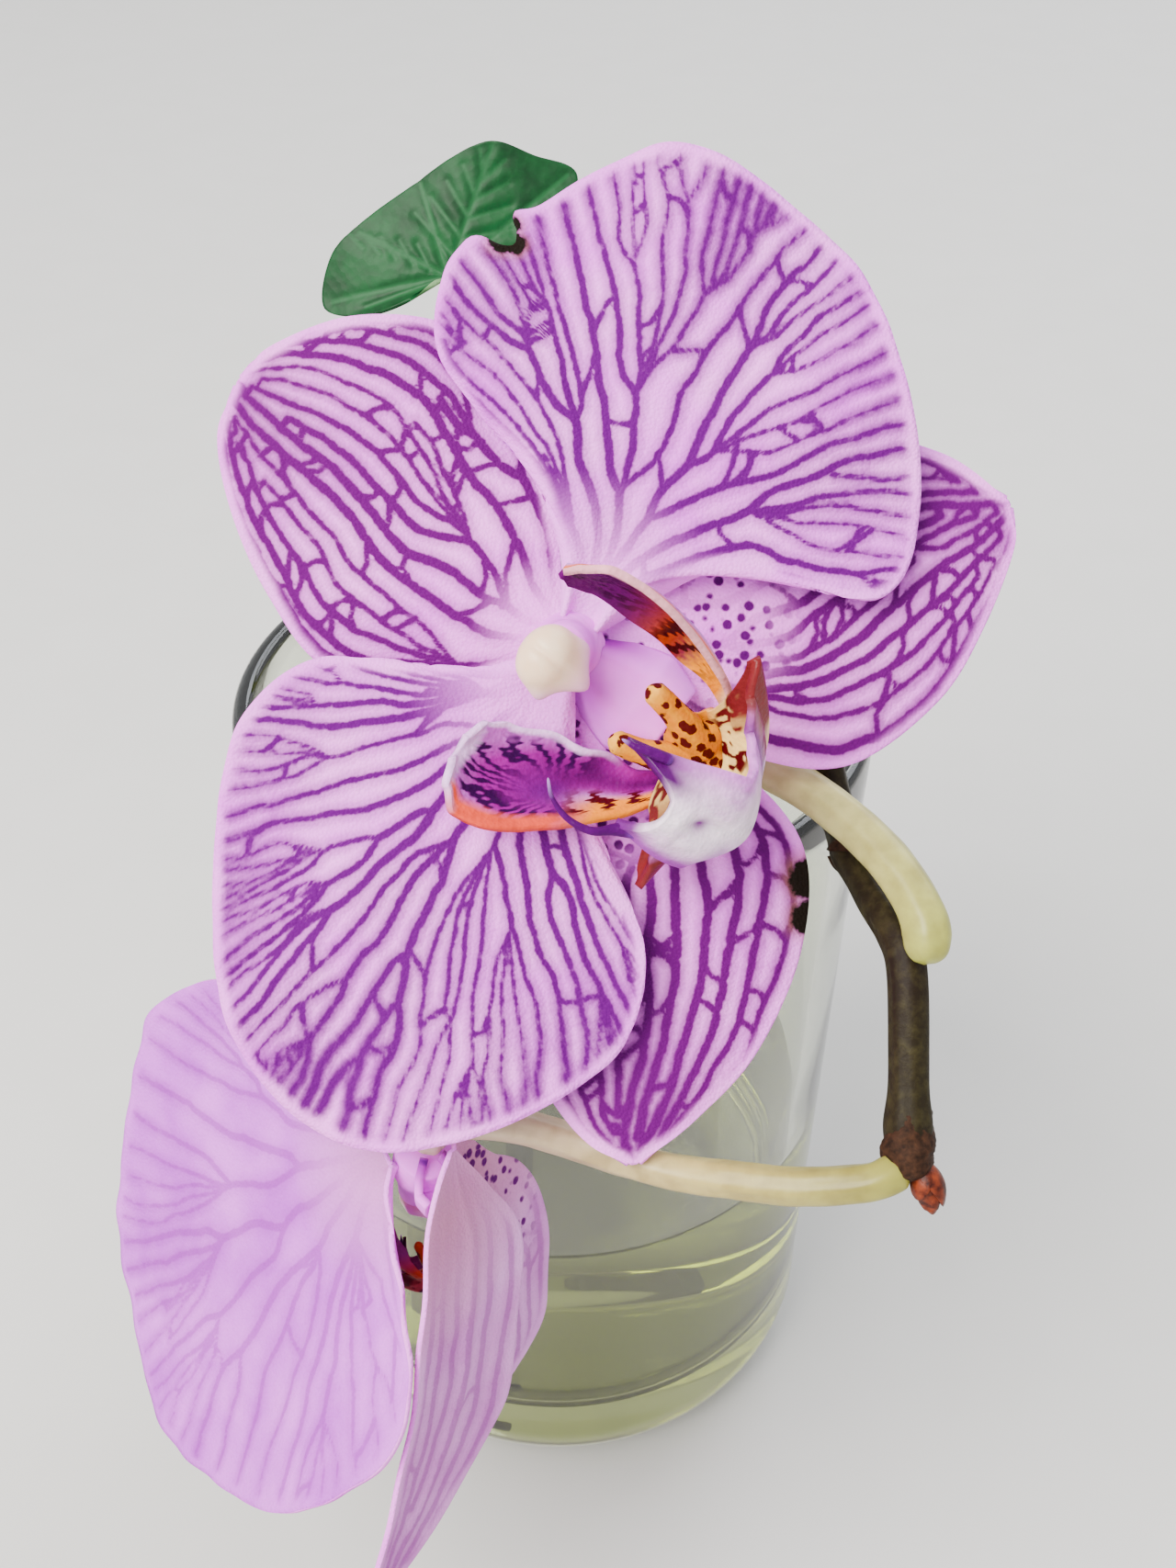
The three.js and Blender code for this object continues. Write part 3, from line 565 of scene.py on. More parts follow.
leaf_upper = leaf_material("leaf_upper", "#0A4A22", "#063216", "#155029")
leaf_under = leaf_material("leaf_under", "#446E42", "#3A6038", "#6E9264")
leaf_matrix = flower_frame(LEAF_JOINT, FACE) @ turned(68, -8)
leaf = grid_piece(
    "leaf_blade", 60, 220, leaf_place, [leaf_upper, leaf_under], ["leaf"], leaf_marks, leaf_matrix,
)
thicken(leaf, 0.45, inner=1)
LEAF_STALK_PATH = [
    [-13, -6, 13], [-10.6, 11.5, 60], [-10, 30.2, 104.5], [-12.2, 35.8, 125], [-12.9, 38.12, 137.4],
    [-13.1, 38.8, 141.4],
]
grid_piece(
    "leaf_stem", 160, 20,
    tube(LEAF_STALK_PATH, closed(lambda t: 1.1 - 0.25 * t, 140, rounding=0.6), flutes=2, flute_depth=0.08),
    stalk_material("leaf_stalk_skin", "#A9AD7C", "#B7BB86", "#8FA365"),
    ["leaf_stalk"], along_marks, weld=True,
)


# ---- Petal and sepal veins ----
# Veins enter at the claw, run out side by side and fork wherever the gap to a neighbour grows too
# wide, so they stay evenly spaced; short slanting links join neighbours.
VEIN_HALF_WIDTH = 0.43
THINNER_PER_FORK = 0.06
LINK_HALF_WIDTHS = (0.32, 0.24, 0.3)
FIRST_LINK = 0.12
FIRST_JOINT = 0.4
LAST_FORK = 0.93


def forked(vein, side, rng):
    """A new vein that leaves this one to the given side."""
    return {
        "v": vein["v"] + side * 2e-4, "rank": vein["rank"] + 1, "reach": rng.uniform(0.85, 1.3),
        "line": [vein["line"][-1]], "drift": side * 0.25,
    }


def ended_links(pending, live, k, weight, rng):
    """Links begun further in that now reach the neighbour they lean to, each a short bowed line."""
    lines = []
    for task in [task for task in pending if task[2] <= k]:
        pending.remove(task)
        begun, target, _ = task
        if target in live:
            a, b = np.array(begun), np.array(target["line"][-1])
            bow = (a + b) / 2 + np.array([rng.uniform(-0.6, 0.6), rng.uniform(-0.6, 0.6), 0])
            a[2], bow[2], b[2] = (half * weight for half in LINK_HALF_WIDTHS)
            lines.append([tuple(a), tuple(bow), tuple(b)])
    return lines


def wander(live, gaps, stride, per_v, rng):
    """Each vein drifts a little and is pushed to the middle of its gap, without crossing the last."""
    shift = (gaps[1:] - gaps[:-1]) / 2
    shift[0] = (0.6 * gaps[1] - gaps[0]) / 1.6 if len(live) > 1 else 0
    shift[-1] = (gaps[-1] - 0.6 * gaps[-2]) / 1.6 if len(live) > 1 else 0
    for i, vein in enumerate(live):
        vein["drift"] = 0.88 * vein.get("drift", 0) + rng.gauss(0, 0.085)
        move = 0.16 * shift[i] + vein["drift"] * stride[i]
        move = max(-0.62 * stride[i], min(0.62 * stride[i], move))
        low = live[i - 1]["v"] + 1e-4 if i else 0.005
        vein["v"] = min(0.995, max(low, vein["v"] + move / per_v[i]))


def regrown(live, gaps, limit, ray, rng):
    """The next step's veins, forked where there is room, and those that were squeezed and end here."""
    grown, joined = [], []
    for i, vein in enumerate(live):
        older = live[i - 1]
        squeezed = i > 0 and ray > FIRST_JOINT and gaps[i] < 0.36 * limit and vein["rank"] >= older["rank"]
        settled = i > 0 and min(len(vein["line"]), len(older["line"])) > 32
        if squeezed and settled and len(grown) > 1:
            vein["line"].append(tuple(grown[-1]["line"][-1]))
            joined.append(vein["line"])
            continue
        grown.append(vein)
        wide = gaps[i + 1] > limit * vein["reach"] and i < len(live) - 1
        outer = i == len(live) - 1 and gaps[i + 1] > 0.8 * limit * vein["reach"]
        if (wide or outer) and ray < LAST_FORK:
            vein["reach"] = rng.uniform(0.85, 1.3)
            grown.append(forked(vein, 1, rng))
    if gaps[0] > 0.8 * limit and ray < LAST_FORK:
        grown.insert(0, forked(grown[0], -1, rng))
    return grown, joined


def vein_plan(flow, seed, first, spacing, link, weight=1.0):
    """Points (x, y, half width) of all veins, in the blade's own flat frame."""
    rng = random.Random(seed)
    rays = np.linspace(0.015, 0.995, 150)
    live = []
    for k in range(first):
        live.append({"v": (k + 0.5) / first, "rank": 0, "reach": rng.uniform(0.9, 1.2), "line": []})
    lines, pending = [], []
    for k, ray in enumerate(rays[:-1]):
        v = np.array([vein["v"] for vein in live])
        level = np.full(len(v), ray)
        here = flow(level, v)[:, :2]
        ahead = flow(level + rays[1] - rays[0], v)[:, :2]
        beside = flow(level, v + 1e-3)[:, :2]
        per_v = np.linalg.norm(beside - here, axis=1) / 1e-3 + 0.5
        stride = np.linalg.norm(ahead - here, axis=1)
        ends = flow(np.full(2, ray), np.array([0.0, 1.0]))[:, :2]
        gaps = np.linalg.norm(np.diff(np.vstack([ends[:1], here, ends[1:]]), axis=0), axis=1)
        swell = 0.6 + 0.4 * math.sin(math.pi * ray ** 0.8)
        for i, vein in enumerate(live):
            half = weight * (VEIN_HALF_WIDTH - THINNER_PER_FORK * min(vein["rank"], 3)) * swell
            vein["line"].append((here[i][0], here[i][1], half))
        lines += ended_links(pending, live, k, weight, rng)
        for i in range(len(live) - 1):
            if ray > FIRST_LINK and rng.random() < stride[i] / link:
                a, b = (i, i + 1) if rng.random() < 0.5 else (i + 1, i)
                delay = int(max(1, 0.75 * gaps[i + 1] / max(stride[i], 0.05)))
                pending.append((live[a]["line"][-1], live[b], k + delay))
        wander(live, gaps, stride, per_v, rng)
        live, joined = regrown(live, gaps, spacing(ray), ray, rng)
        lines += joined
    lines += [vein["line"] for vein in live]
    return np.array([point for line in lines if len(line) > 1 for point in sampled(line)])


def tepal_material(name, ground, rosy, vein, ink, claw="#F3E9F4"):
    """A satin, slightly translucent petal skin with its veins drawn from the marks on its mesh."""
    made, tree, shader = material(
        name, Roughness=0.6, IOR=1.38, Specular_IOR_Level=0.06, Subsurface_Weight=0.1,
        Subsurface_Radius=(1.0, 0.55, 0.9), Subsurface_Scale=0.0012,
    )
    where = add(tree, "TexCoord").outputs["Object"]
    mark = lambda key: add(tree, "Attribute", attribute_name=key).outputs["Fac"]
    blot = add(tree, "TexNoise", {"Vector": where, "Scale": 1250, "Detail": 3, "Roughness": 0.6})
    blot = blot.outputs["Fac"]
    broad = add(tree, "TexNoise", {"Vector": where, "Scale": 130, "Detail": 3}).outputs["Fac"]
    ragged = add(tree, "Math", {0: blot, 1: 0.42, 2: -0.21}, operation="MULTIPLY_ADD").outputs[0]
    far = add(tree, "Math", {0: mark("vein"), 1: ragged}, operation="ADD").outputs[0]
    core = add(tree, "MapRange", {"Value": far, "From Min": 0.13, "From Max": -0.12},
               interpolation_type="SMOOTHSTEP").outputs["Result"]
    halo = add(tree, "MapRange", {"Value": far, "From Min": 1.1, "From Max": -0.05},
               interpolation_type="SMOOTHSTEP").outputs["Result"]
    edge = add(tree, "Math", {0: broad, 1: 1.6, 2: -0.8}, operation="MULTIPLY_ADD").outputs[0]
    edge = add(tree, "Math", {0: mark("edge"), 1: edge}, operation="ADD").outputs[0]
    inside = add(tree, "MapRange", {"Value": edge, "From Min": 0.35, "From Max": 1.5},
                 interpolation_type="SMOOTHSTEP").outputs["Result"]
    strength = add(tree, "Math", {0: inside, 1: mark("ink")}, operation="MULTIPLY").outputs[0]
    strength = add(tree, "Math", {0: strength, 1: ink}, operation="MULTIPLY", use_clamp=True).outputs[0]
    drawn = add(tree, "Math", {0: core, 1: strength}, operation="MULTIPLY").outputs[0]
    wash = add(tree, "Math", {0: halo, 1: mark("wash")}, operation="MULTIPLY").outputs[0]
    wash = add(tree, "Math", {0: wash, 1: strength}, operation="MULTIPLY").outputs[0]
    flush = add(tree, "MapRange", {"Value": broad, "From Min": 0.35, "From Max": 0.7}).outputs["Result"]
    dots = add(tree, "TexVoronoi", {"Vector": where, "Scale": 760, "Randomness": 1.0}).outputs["Distance"]
    dots = add(tree, "Math", {0: ragged, 1: 0.5, 2: dots}, operation="MULTIPLY_ADD").outputs[0]
    dots = add(tree, "MapRange", {"Value": dots, "From Min": 0.42, "From Max": 0.3}).outputs["Result"]
    dots = add(tree, "Math", {0: dots, 1: mark("dots")}, operation="MULTIPLY").outputs[0]
    wilt = mark("wilt")
    ragged_wilt = add(tree, "Math", {0: wilt, 1: ragged}).outputs[0]
    rot = add(tree, "MapRange", {"Value": ragged_wilt, "From Min": 0.45, "From Max": 0.62}).outputs["Result"]
    rim = add(tree, "MapRange", {"Value": wilt, "From Min": 0.12, "From Max": 0.5, "To Max": 0.55})
    cells = add(tree, "TexVoronoi", {"Vector": where, "Scale": 3200}).outputs["Distance"]
    sparkle = add(tree, "MapRange", {"Value": cells, "To Min": 1.0, "To Max": 0.9}).outputs["Result"]
    skin = {SHARE: flush, UNDER: colour(ground), OVER: colour(rosy)}
    base = add(tree, "Mix", skin, data_type="RGBA").outputs[MIXED]
    for share, tint in ((mark("claw"), claw), (wash, vein), (drawn, vein), (dots, "#560062")):
        coat = {SHARE: share, UNDER: base, OVER: colour(tint)}
        base = add(tree, "Mix", coat, data_type="RGBA").outputs[MIXED]
    glitter = {SHARE: 1.0, UNDER: base, OVER: sparkle}
    base = add(tree, "Mix", glitter, data_type="RGBA", blend_type="MULTIPLY").outputs[MIXED]
    for share, tint in ((rim.outputs["Result"], "#8A5A3A"), (rot, "#16100C")):
        coat = {SHARE: share, UNDER: base, OVER: colour(tint)}
        base = add(tree, "Mix", coat, data_type="RGBA").outputs[MIXED]
    tree.links.new(base, shader.inputs["Base Color"])
    relief = add(tree, "Math", {0: halo, 1: 0.7, 2: 0.0}, operation="MULTIPLY_ADD").outputs[0]
    relief = add(tree, "Math", {0: relief, 1: cells}, operation="SUBTRACT").outputs[0]
    relief = add(tree, "Math", {0: broad, 1: 1.5, 2: relief}, operation="MULTIPLY_ADD").outputs[0]
    bump = add(tree, "Bump", {"Height": relief, "Strength": 0.5, "Distance": 0.0002})
    tree.links.new(bump.outputs["Normal"], shader.inputs["Normal"])
    return made


petal_face = tepal_material("petal_face", "#FF90FF", "#F069FA", "#5C006C", 1.0, "#FA92FC")
petal_back = tepal_material("petal_back", "#DC6CEE", "#BE4CD6", "#7E0C92", 0.4, "#D084C8")
sepal_face = tepal_material("sepal_face", "#FF91FD", "#F071F6", "#5C0064", 1.0, "#FA92F9")
sepal_back = tepal_material("sepal_back", "#E09ADE", "#CA7AC8", "#7E1484", 0.42, "#C07CA4")


# ---- Petals and sepals ----
# Soft, satin blades half a millimetre thick, pale lilac with purple veins in front and paler
# behind. Each grows from the claw, bulges a little and ruffles at its margin.
def lens(left, right):
    """place(t, v): lines run from the claw to the tip between the two margins."""
    left_line, right_line = curve(left), curve(right)

    def place(t, v):
        a, b = left_line(t), right_line(t)
        return a + (b - a) * v[:, None]
    return place


def wrapped(point, radius):
    """Wraps a blade forward round a line along X at the given height."""
    if not radius:
        return point
    angle = point[:, 1] / radius
    reach = radius - point[:, 2]
    return np.column_stack([point[:, 0], reach * np.sin(angle), radius - reach * np.cos(angle)])


def petal_form(flow, bulge=1.6, wave=0.7, phase=0.0, wrap=0.0, curl=0.0, seed=3):
    """A petal's face: it bulges, and its margin waves in broad and in fine ruffles."""
    def place(ray, v):
        point = flow(ray, v)
        belly = bulge * np.sin(np.pi * ray ** 0.8)
        ripple = wave * ray ** 3 * np.sin(10 * np.pi * v + phase)
        frill = 0.22 * ray ** 6 * np.sin(46 * np.pi * v + seed) * np.sin(6 * np.pi * v + 2 * seed)
        point[:, 2] = 0.95 + belly + ripple + frill + curl * (point[:, 0] / 40) ** 2
        return wrapped(point, wrap)
    return place


def sepal_form(flow, height=-1.3, droop=2.4, camber=1.3, wrap=0.0, fold=0.0, seed=3):
    """A sepal's face: cambered, drooping to its tip, with a fold down its middle where it has one."""
    def place(t, v):
        point = flow(t, v)
        side = 2 * v - 1
        point[:, 2] = height - droop * t * t - camber * side * side * np.sin(np.pi * t)
        crease = fold * np.exp(-(side / 0.12) ** 2) * np.sin(np.pi * t)
        point[:, 2] += 0.15 * side ** 4 * np.sin(24 * t + seed) - crease
        return wrapped(point, wrap)
    return place


def tepal_marks(flow, outline, veins, wilts, dots, claw_reach):
    """The distances and strengths that the tepal material reads."""
    def read(u, v):
        flat = flow(u, v)[:, :2]
        far, which = distance_to(flat, veins)
        edge, _ = distance_to(flat, outline)
        radius = np.linalg.norm(flat - np.array([2.4, 0]), axis=1)
        wilt = np.zeros(len(u))
        for x, y, size in wilts:
            wilt = np.maximum(wilt, np.exp(-((np.hypot(flat[:, 0] - x, flat[:, 1] - y) / size) ** 2)))
        ink = np.clip((radius - 0.3 * claw_reach) / (0.75 * claw_reach), 0.12, 1.0)
        spots = np.clip(2.4 - np.abs(flat[:, 1] - dots[1]) / 3, 0, 1) * np.clip((dots[0] - radius) / 4, 0, 1)
        clouds = 0.6 + 0.4 * np.sin(0.35 * flat[:, 1] + 1)
        return {
            "vein": far - veins[which.astype(int), 2], "edge": edge, "ink": ink * (1 - 0.8 * spots),
            "wilt": wilt, "dots": spots, "claw": np.clip(1 - radius / claw_reach, 0, 1) ** 0.7,
            "wash": 0.42 + 0.6 * np.clip((radius - 18) / 24, 0, 1) * clouds,
        }
    return read


def tepal(name, flow, outline, form, matrix, paint, slot, size, plan, wilts=(), dots=(0, 0), claw=13.0):
    """A petal or sepal; wilts are (x, y, size) of dark marks, dots how far and where its throat is dotted."""
    marks = tepal_marks(flow, outline, vein_plan(flow, **plan), wilts, dots, claw)
    blade = grid_piece(name + "_bloom", size[0], size[1], form, paint, [name], marks, matrix)
    thicken(blade, 0.5, inner=1)


def petal(name, margin, matrix, form=None, size=(112, 330), plan=None, straightness=0.3, **more):
    """A petal; its margin starts a little inside the hub, so the claw runs into the flower's middle."""
    margin = [[margin[0][0] - 1.7, margin[0][1]]] + margin[1:-1] + [[margin[-1][0] - 1.7, margin[-1][1]]]
    flow = fan(margin, straightness)
    outline = curve(margin)(np.linspace(0, 1, 700))[:, :2]
    usual = {"seed": 11, "first": 8, "spacing": lambda r: 3.4 - 1.3 * r ** 1.5, "link": 20.0}
    tepal(
        name, flow, outline, petal_form(flow, **(form or {})), matrix, [petal_face, petal_back], "petal",
        size, {**usual, **(plan or {})}, **more,
    )


def sepal(name, left, right, matrix, form=None, size=(130, 100), plan=None, paint=None, slot="sepal", **more):
    """A sepal between its two margins, or a furled petal; its claw too runs into the flower's middle."""
    left = [[left[0][0] - 1.5, left[0][1]]] + left[1:]
    right = [[right[0][0] - 1.5, right[0][1]]] + right[1:]
    flow = lens(left, right)
    outline = np.vstack([curve(side)(np.linspace(0, 1, 400))[:, :2] for side in (left, right)])
    usual = {"seed": 5, "first": 5, "spacing": lambda t: 4.0 - 1.1 * t, "link": 6.5, "weight": 1.08}
    tepal(
        name, flow, outline, sepal_form(flow, **(form or {})), matrix, paint or [sepal_face, sepal_back],
        slot, size, {**usual, **(plan or {})}, **more,
    )


CLAW = 3.85


def hinge(flower, angle, pitch=0.0, roll=0.0, at=None, out=0.0):
    """A tepal's place: it turns to its angle and pitches forward about its claw."""
    turn = turned(angle, -pitch, roll)
    stand = turned(angle if at is None else at).to_3x3() @ Vector((CLAW + out, 0, 0))
    return flower @ Matrix.Translation((stand - turn.to_3x3() @ Vector((CLAW, 0, 0))) * MM) @ turn


front = flower_frame((2.2, -34.8, 136.9), FACE)
hanging = flower_frame((-11.8, -58.6, 94.6), (-0.25, 0.2, -0.95))

UPPER_PETAL = [
    [CLAW, 1.6], [7.5, 4], [13, 9.5], [16.5, 16.5], [20, 22], [26, 24], [29.2, 23.5], [30.4, 22.6],
    [30.6, 20.6], [31.3, 19.3], [32.8, 19.8], [34, 20.6], [35.5, 18.8], [39.5, 16], [45, 10.5], [46, 5],
    [44.8, -2], [42, -10], [36, -16.5], [28, -22.3], [20, -25], [15.2, -23.5], [13.6, -17], [11.5, -8.8],
    [CLAW, -1.6],
]
LOWER_PETAL = [
    [CLAW, 1.6], [10, 7], [15, 13.5], [20, 20], [27, 22.7], [33, 21.5], [41, 16.5], [47.5, 9.5], [49.3, 3],
    [48, -3.5], [44, -10], [36, -16], [27, -20.5], [20, -22], [13.5, -19.8], [10.2, -15], [6.6, -7.4],
    [CLAW, -1.6],
]
petal(
    "front_flower_petal_a", UPPER_PETAL, hinge(front, 66),
    wilts=[(30.9, 20.6, 1.5), (32.6, 20.4, 1.3), (31.2, 19.2, 1.2)], plan={"seed": 21}, straightness=0.42,
)
petal(
    "front_flower_petal_b", LOWER_PETAL, hinge(front, 239), {"bulge": 1.1, "wave": 0.5, "phase": 2.0},
    plan={"seed": 34},
)
sepal(
    "front_flower_dorsal_sepal",
    [[CLAW, 2], [4.8, 7.2], [8.3, 11], [16.5, 15.4], [24.8, 13.6], [32, 10], [37.8, 5.2], [39.6, 0.4]],
    [[CLAW, -2], [6.2, -6.2], [12.4, -11.6], [20.7, -15.8], [28, -16.3], [35.2, -11.4], [39.3, -4.6],
     [39.7, -0.6]],
    hinge(front, 141), plan={"seed": 8}, claw=7.0,
)
sepal(
    "front_flower_lateral_sepal_a",
    [[CLAW, 2], [8.3, 5], [16, 7.2], [24.3, 9.2], [32, 9.8], [38.7, 6], [43, 0.3]],
    [[CLAW, -2], [8.2, -9.9], [14.3, -15.8], [21.5, -18.4], [30.8, -15.5], [37, -10.4], [42.2, -4.2],
     [43.1, -0.8]],
    hinge(front, 19), plan={"seed": 13}, dots=(19.5, -2.5), claw=7.0,
)
sepal(
    "front_flower_lateral_sepal_b",
    [[CLAW, 2], [7.6, 7.8], [14.2, 15.5], [21.4, 19.3], [30.6, 17.7], [39.2, 12.5], [44.6, 6.2], [48, 0.7]],
    [[CLAW, -2], [8, -3.2], [15, -6.5], [25, -9], [34, -9], [40.5, -7], [45.4, -4], [48, -0.5]],
    hinge(front, 277), plan={"seed": 17}, dots=(20, 4), claw=7.0,
    wilts=[(23.6, 19.4, 2.5), (27.2, 18.9, 2.1)],
)

HANGING_PETAL = [
    [CLAW, 1.6], [4.4, 9], [7.5, 17], [13, 23], [19.8, 25.2], [26.8, 25.4], [32, 22], [40.4, 14.7], [47.4, 9],
    [49.4, 2], [48.6, -6.5], [46, -12.6], [40, -18.2], [33, -22.8], [26.5, -25.7], [19.9, -27], [12.8, -26.7],
    [8.6, -25], [5.9, -21], [4.4, -15], [3.5, -9], [3.1, -4.6], [3.2, -1.6],
]
petal(
    "hanging_flower_petal_a", HANGING_PETAL, hinge(hanging, 173, 58, -19, out=1.9),
    {"bulge": 0.8, "wave": 0.5, "wrap": -111, "curl": 4.2},
    plan={"seed": 41, "first": 7, "spacing": lambda r: 5.2 - 1.2 * r, "link": 60},
)
furl = lambda points, width: [[x, y * width] for x, y in points]
sepal(
    "hanging_flower_petal_b",
    [[CLAW, 1.6], [10, 3.6], [18, 5.2], [27, 5], [33, 3], [36, 0.4]],
    [[CLAW, -1.6], [10, -3.2], [18, -4.8], [27, -4.8], [33, -3], [36, -0.6]],
    hinge(hanging, 312, 66, out=1.9), {"height": 1.2, "droop": 0, "camber": 0.4, "wrap": 12},
    size=(90, 50), plan={"seed": 43, "first": 3}, paint=[petal_face, petal_back], slot="petal",
)
sepal(
    "hanging_flower_dorsal_sepal",
    furl([[CLAW, 2], [8.3, 11], [16.5, 15.4], [24.8, 13.6], [32, 10], [37.8, 5.2], [39.6, 0.4]], 0.45),
    furl([[CLAW, -2], [6.2, -6.2], [12.4, -11.6], [20.7, -15.8], [28, -16.3], [35.2, -11.4], [39.3, -4.6],
          [39.7, -0.6]], 0.45),
    hinge(hanging, 245, 62, out=-0.9), {"droop": 0, "wrap": 12}, size=(90, 50), plan={"seed": 47, "first": 3},
)
sepal(
    "hanging_flower_lateral_sepal_a",
    [[-2.6, 0.6], [-1, 2.3], [4, 2.7], [12.2, 2], [18.2, 1.6], [24.8, 1.9], [32.9, 3.2], [36.6, 3.2]],
    [[-2.8, 0], [-0.3, -6.4], [4.2, -12.6], [11, -14.6], [20.2, -15], [24.3, -13], [28.7, -9.1], [35, -1.5],
     [36.9, 1.6]],
    hinge(hanging, 88, 41, -48, out=3.4), {"height": -2.4, "droop": 0, "camber": 0.5, "fold": 0.35},
    size=(110, 60), plan={"seed": 53, "first": 6, "link": 40},
)
sepal(
    "hanging_flower_lateral_sepal_b",
    [[0.3, 2.5], [6, 6], [14, 7.5], [22, 7.5], [27, 6], [28.9, 4]],
    [[0.5, 1], [4.2, -2.2], [7.8, -5.2], [14.3, -7.3], [20.9, -6.1], [26.5, -3.7], [28.6, 0.5], [28.9, 3]],
    hinge(hanging, 39, 59, -9, at=-2, out=1.6), {"height": 0, "droop": 0, "camber": 0.4},
    size=(90, 50), plan={"seed": 59}, dots=(17, 0),
)


# ---- Column and its foot ----
# The waxy middle of the flower: a short thick column, pale lilac, that runs into a shallow
# hollow foot towards the lip, with a purple patch, and rose painted shade under and round the column.
LIP_AZIMUTH = -37.5
column_paint, tree, shader = material(
    "column_wax", Roughness=0.6, IOR=1.4, Specular_IOR_Level=0.06, Subsurface_Weight=0.25,
    Subsurface_Radius=(1.0, 0.5, 0.7), Subsurface_Scale=0.0015,
)
where = add(tree, "TexCoord").outputs["Object"]
soft = add(tree, "TexNoise", {"Vector": where, "Scale": 420, "Detail": 3}).outputs["Fac"]
patch = add(tree, "Attribute", attribute_name="patch").outputs["Fac"]
# The rose mark is painted shade, laid on the foot under the column and in a band round the column.
rose_shade = add(tree, "Attribute", attribute_name="rose_shade").outputs["Fac"]
spot = add(tree, "Math", {0: soft, 1: 0.5, 2: -0.25}, operation="MULTIPLY_ADD").outputs[0]
spot = add(tree, "Math", {0: patch, 1: spot}, operation="ADD").outputs[0]
spot = add(tree, "MapRange", {"Value": spot, "From Min": 0.4, "From Max": 0.6}).outputs["Result"]
ground = colour("#FF90FF")
for share, tint in ((soft, "#EE66F6"), (rose_shade, "#9410A0"), (spot, "#4E0070")):
    coat = {SHARE: share, UNDER: ground, OVER: colour(tint)}
    ground = add(tree, "Mix", coat, data_type="RGBA").outputs[MIXED]
tree.links.new(ground, shader.inputs["Base Color"])
bump = add(tree, "Bump", {"Height": soft, "Strength": 0.2, "Distance": 0.0004})
tree.links.new(bump.outputs["Normal"], shader.inputs["Normal"])


def foot_form(size):
    def place(u, v):
        across = 2 * v - 1
        half = np.interp(u, [0, 1 / 3, 2 / 3, 1], [2.2, 4, 5, 4.2]) * size
        height = np.interp(u, [0, 1 / 3, 2 / 3, 1], [1.6, 2.2, 2.4, 1.8])
        along = 1.2 + (11.4 * size - 1.2) * u
        rise = 0.5 * across ** 2 - 0.5 * (1 - across ** 2) * np.sin(np.pi * u)
        rise -= (5.2 - 2.2 * u) * np.clip((np.abs(across) - 0.4) / 0.6, 0, 1) ** 2
        return np.column_stack([along, across * half * np.sqrt(1 - 0.25 * u ** 4), height + rise])
    return place


def foot_marks(u, v):
    across = 2 * v - 1
    return {
        "patch": 0.62 * np.exp(-(((u - 0.06) / 0.12) ** 2) - ((across - 0.9) / 0.4) ** 2),
        # Painted rose shade on the foot: under the column on both sides, and at its root by the column.
        "rose_shade": np.clip(0.85 * np.exp(-(((u - 0.2) / 0.3) ** 2) - ((across - 0.8) / 0.4) ** 2)
                        + 0.6 * np.exp(-(((u - 0.25) / 0.3) ** 2) - ((across + 0.7) / 0.5) ** 2)
                        + 0.3 * np.exp(-((u - 0.05) / 0.2) ** 2), 0, 1),
    }


def column_marks(u, v):
    # Painted rose shade in a band round the column.
    return {"patch": 0 * u, "rose_shade": 0.35 * np.exp(-(((u - 0.6) / 0.15) ** 2))}


def build_column(prefix, flower, turn, size, girth):
    """A column on its foot; size is the foot's, against the front flower's, and girth the column's."""
    base = flower @ turned(turn)
    radius = lambda t: girth * np.interp(t, [0, 0.1, 0.38, 0.55, 0.8, 1], [2.1, 3.3, 3.3, 2.6, 2.4, 2.3])
    path = [[0, 0, -2.4], [0, 0, 0], [-0.2, -0.2, 3], [-0.8, -0.8, 7.4]]
    form = tube(path, closed(radius, 9.8, rounding=1.0), seed=2)
    node = [prefix + "_column"]
    grid_piece(
        prefix + "_column_body", 60, 48, form, column_paint, node, column_marks, base, weld=True,
    )
    foot = grid_piece(
        prefix + "_column_foot", 40, 40, foot_form(size), column_paint, node, foot_marks,
        base @ turned(LIP_AZIMUTH),
    )
    thicken(foot, 0.8)


# ---- Anther cap ----
# A waxy cream hood over the column's end, with a shallow seam, a short beak towards the lip and a
# small lobe on each side of it, flushed lilac at their tips.
CAP_LOBES = [
    (Vector((0.96, 0, -0.28)), 2.3, 9),
    (Vector((0.66, 0.7, -0.27)), 1.2, 12),
    (Vector((0.5, -0.82, -0.27)), 1.1, 12),
]
cap_paint, tree, shader = material(
    "cap_wax", Roughness=0.3, IOR=1.45, Specular_IOR_Level=0.4, Subsurface_Weight=0.3,
    Subsurface_Radius=(1.0, 0.8, 0.5), Subsurface_Scale=0.0012,
)
where = add(tree, "TexCoord").outputs["Object"]
soft = add(tree, "TexNoise", {"Vector": where, "Scale": 480, "Detail": 3}).outputs["Fac"]
tip = add(tree, "Attribute", attribute_name="tip").outputs["Fac"]
ground = colour("#FAE4C8")
for share, tint in ((soft, "#EAC09A"), (tip, "#E79AE6")):
    coat = {SHARE: share, UNDER: ground, OVER: colour(tint)}
    ground = add(tree, "Mix", coat, data_type="RGBA").outputs[MIXED]
tree.links.new(ground, shader.inputs["Base Color"])
bump = add(tree, "Bump", {"Height": soft, "Strength": 0.15, "Distance": 0.0004})
tree.links.new(bump.outputs["Normal"], shader.inputs["Normal"])


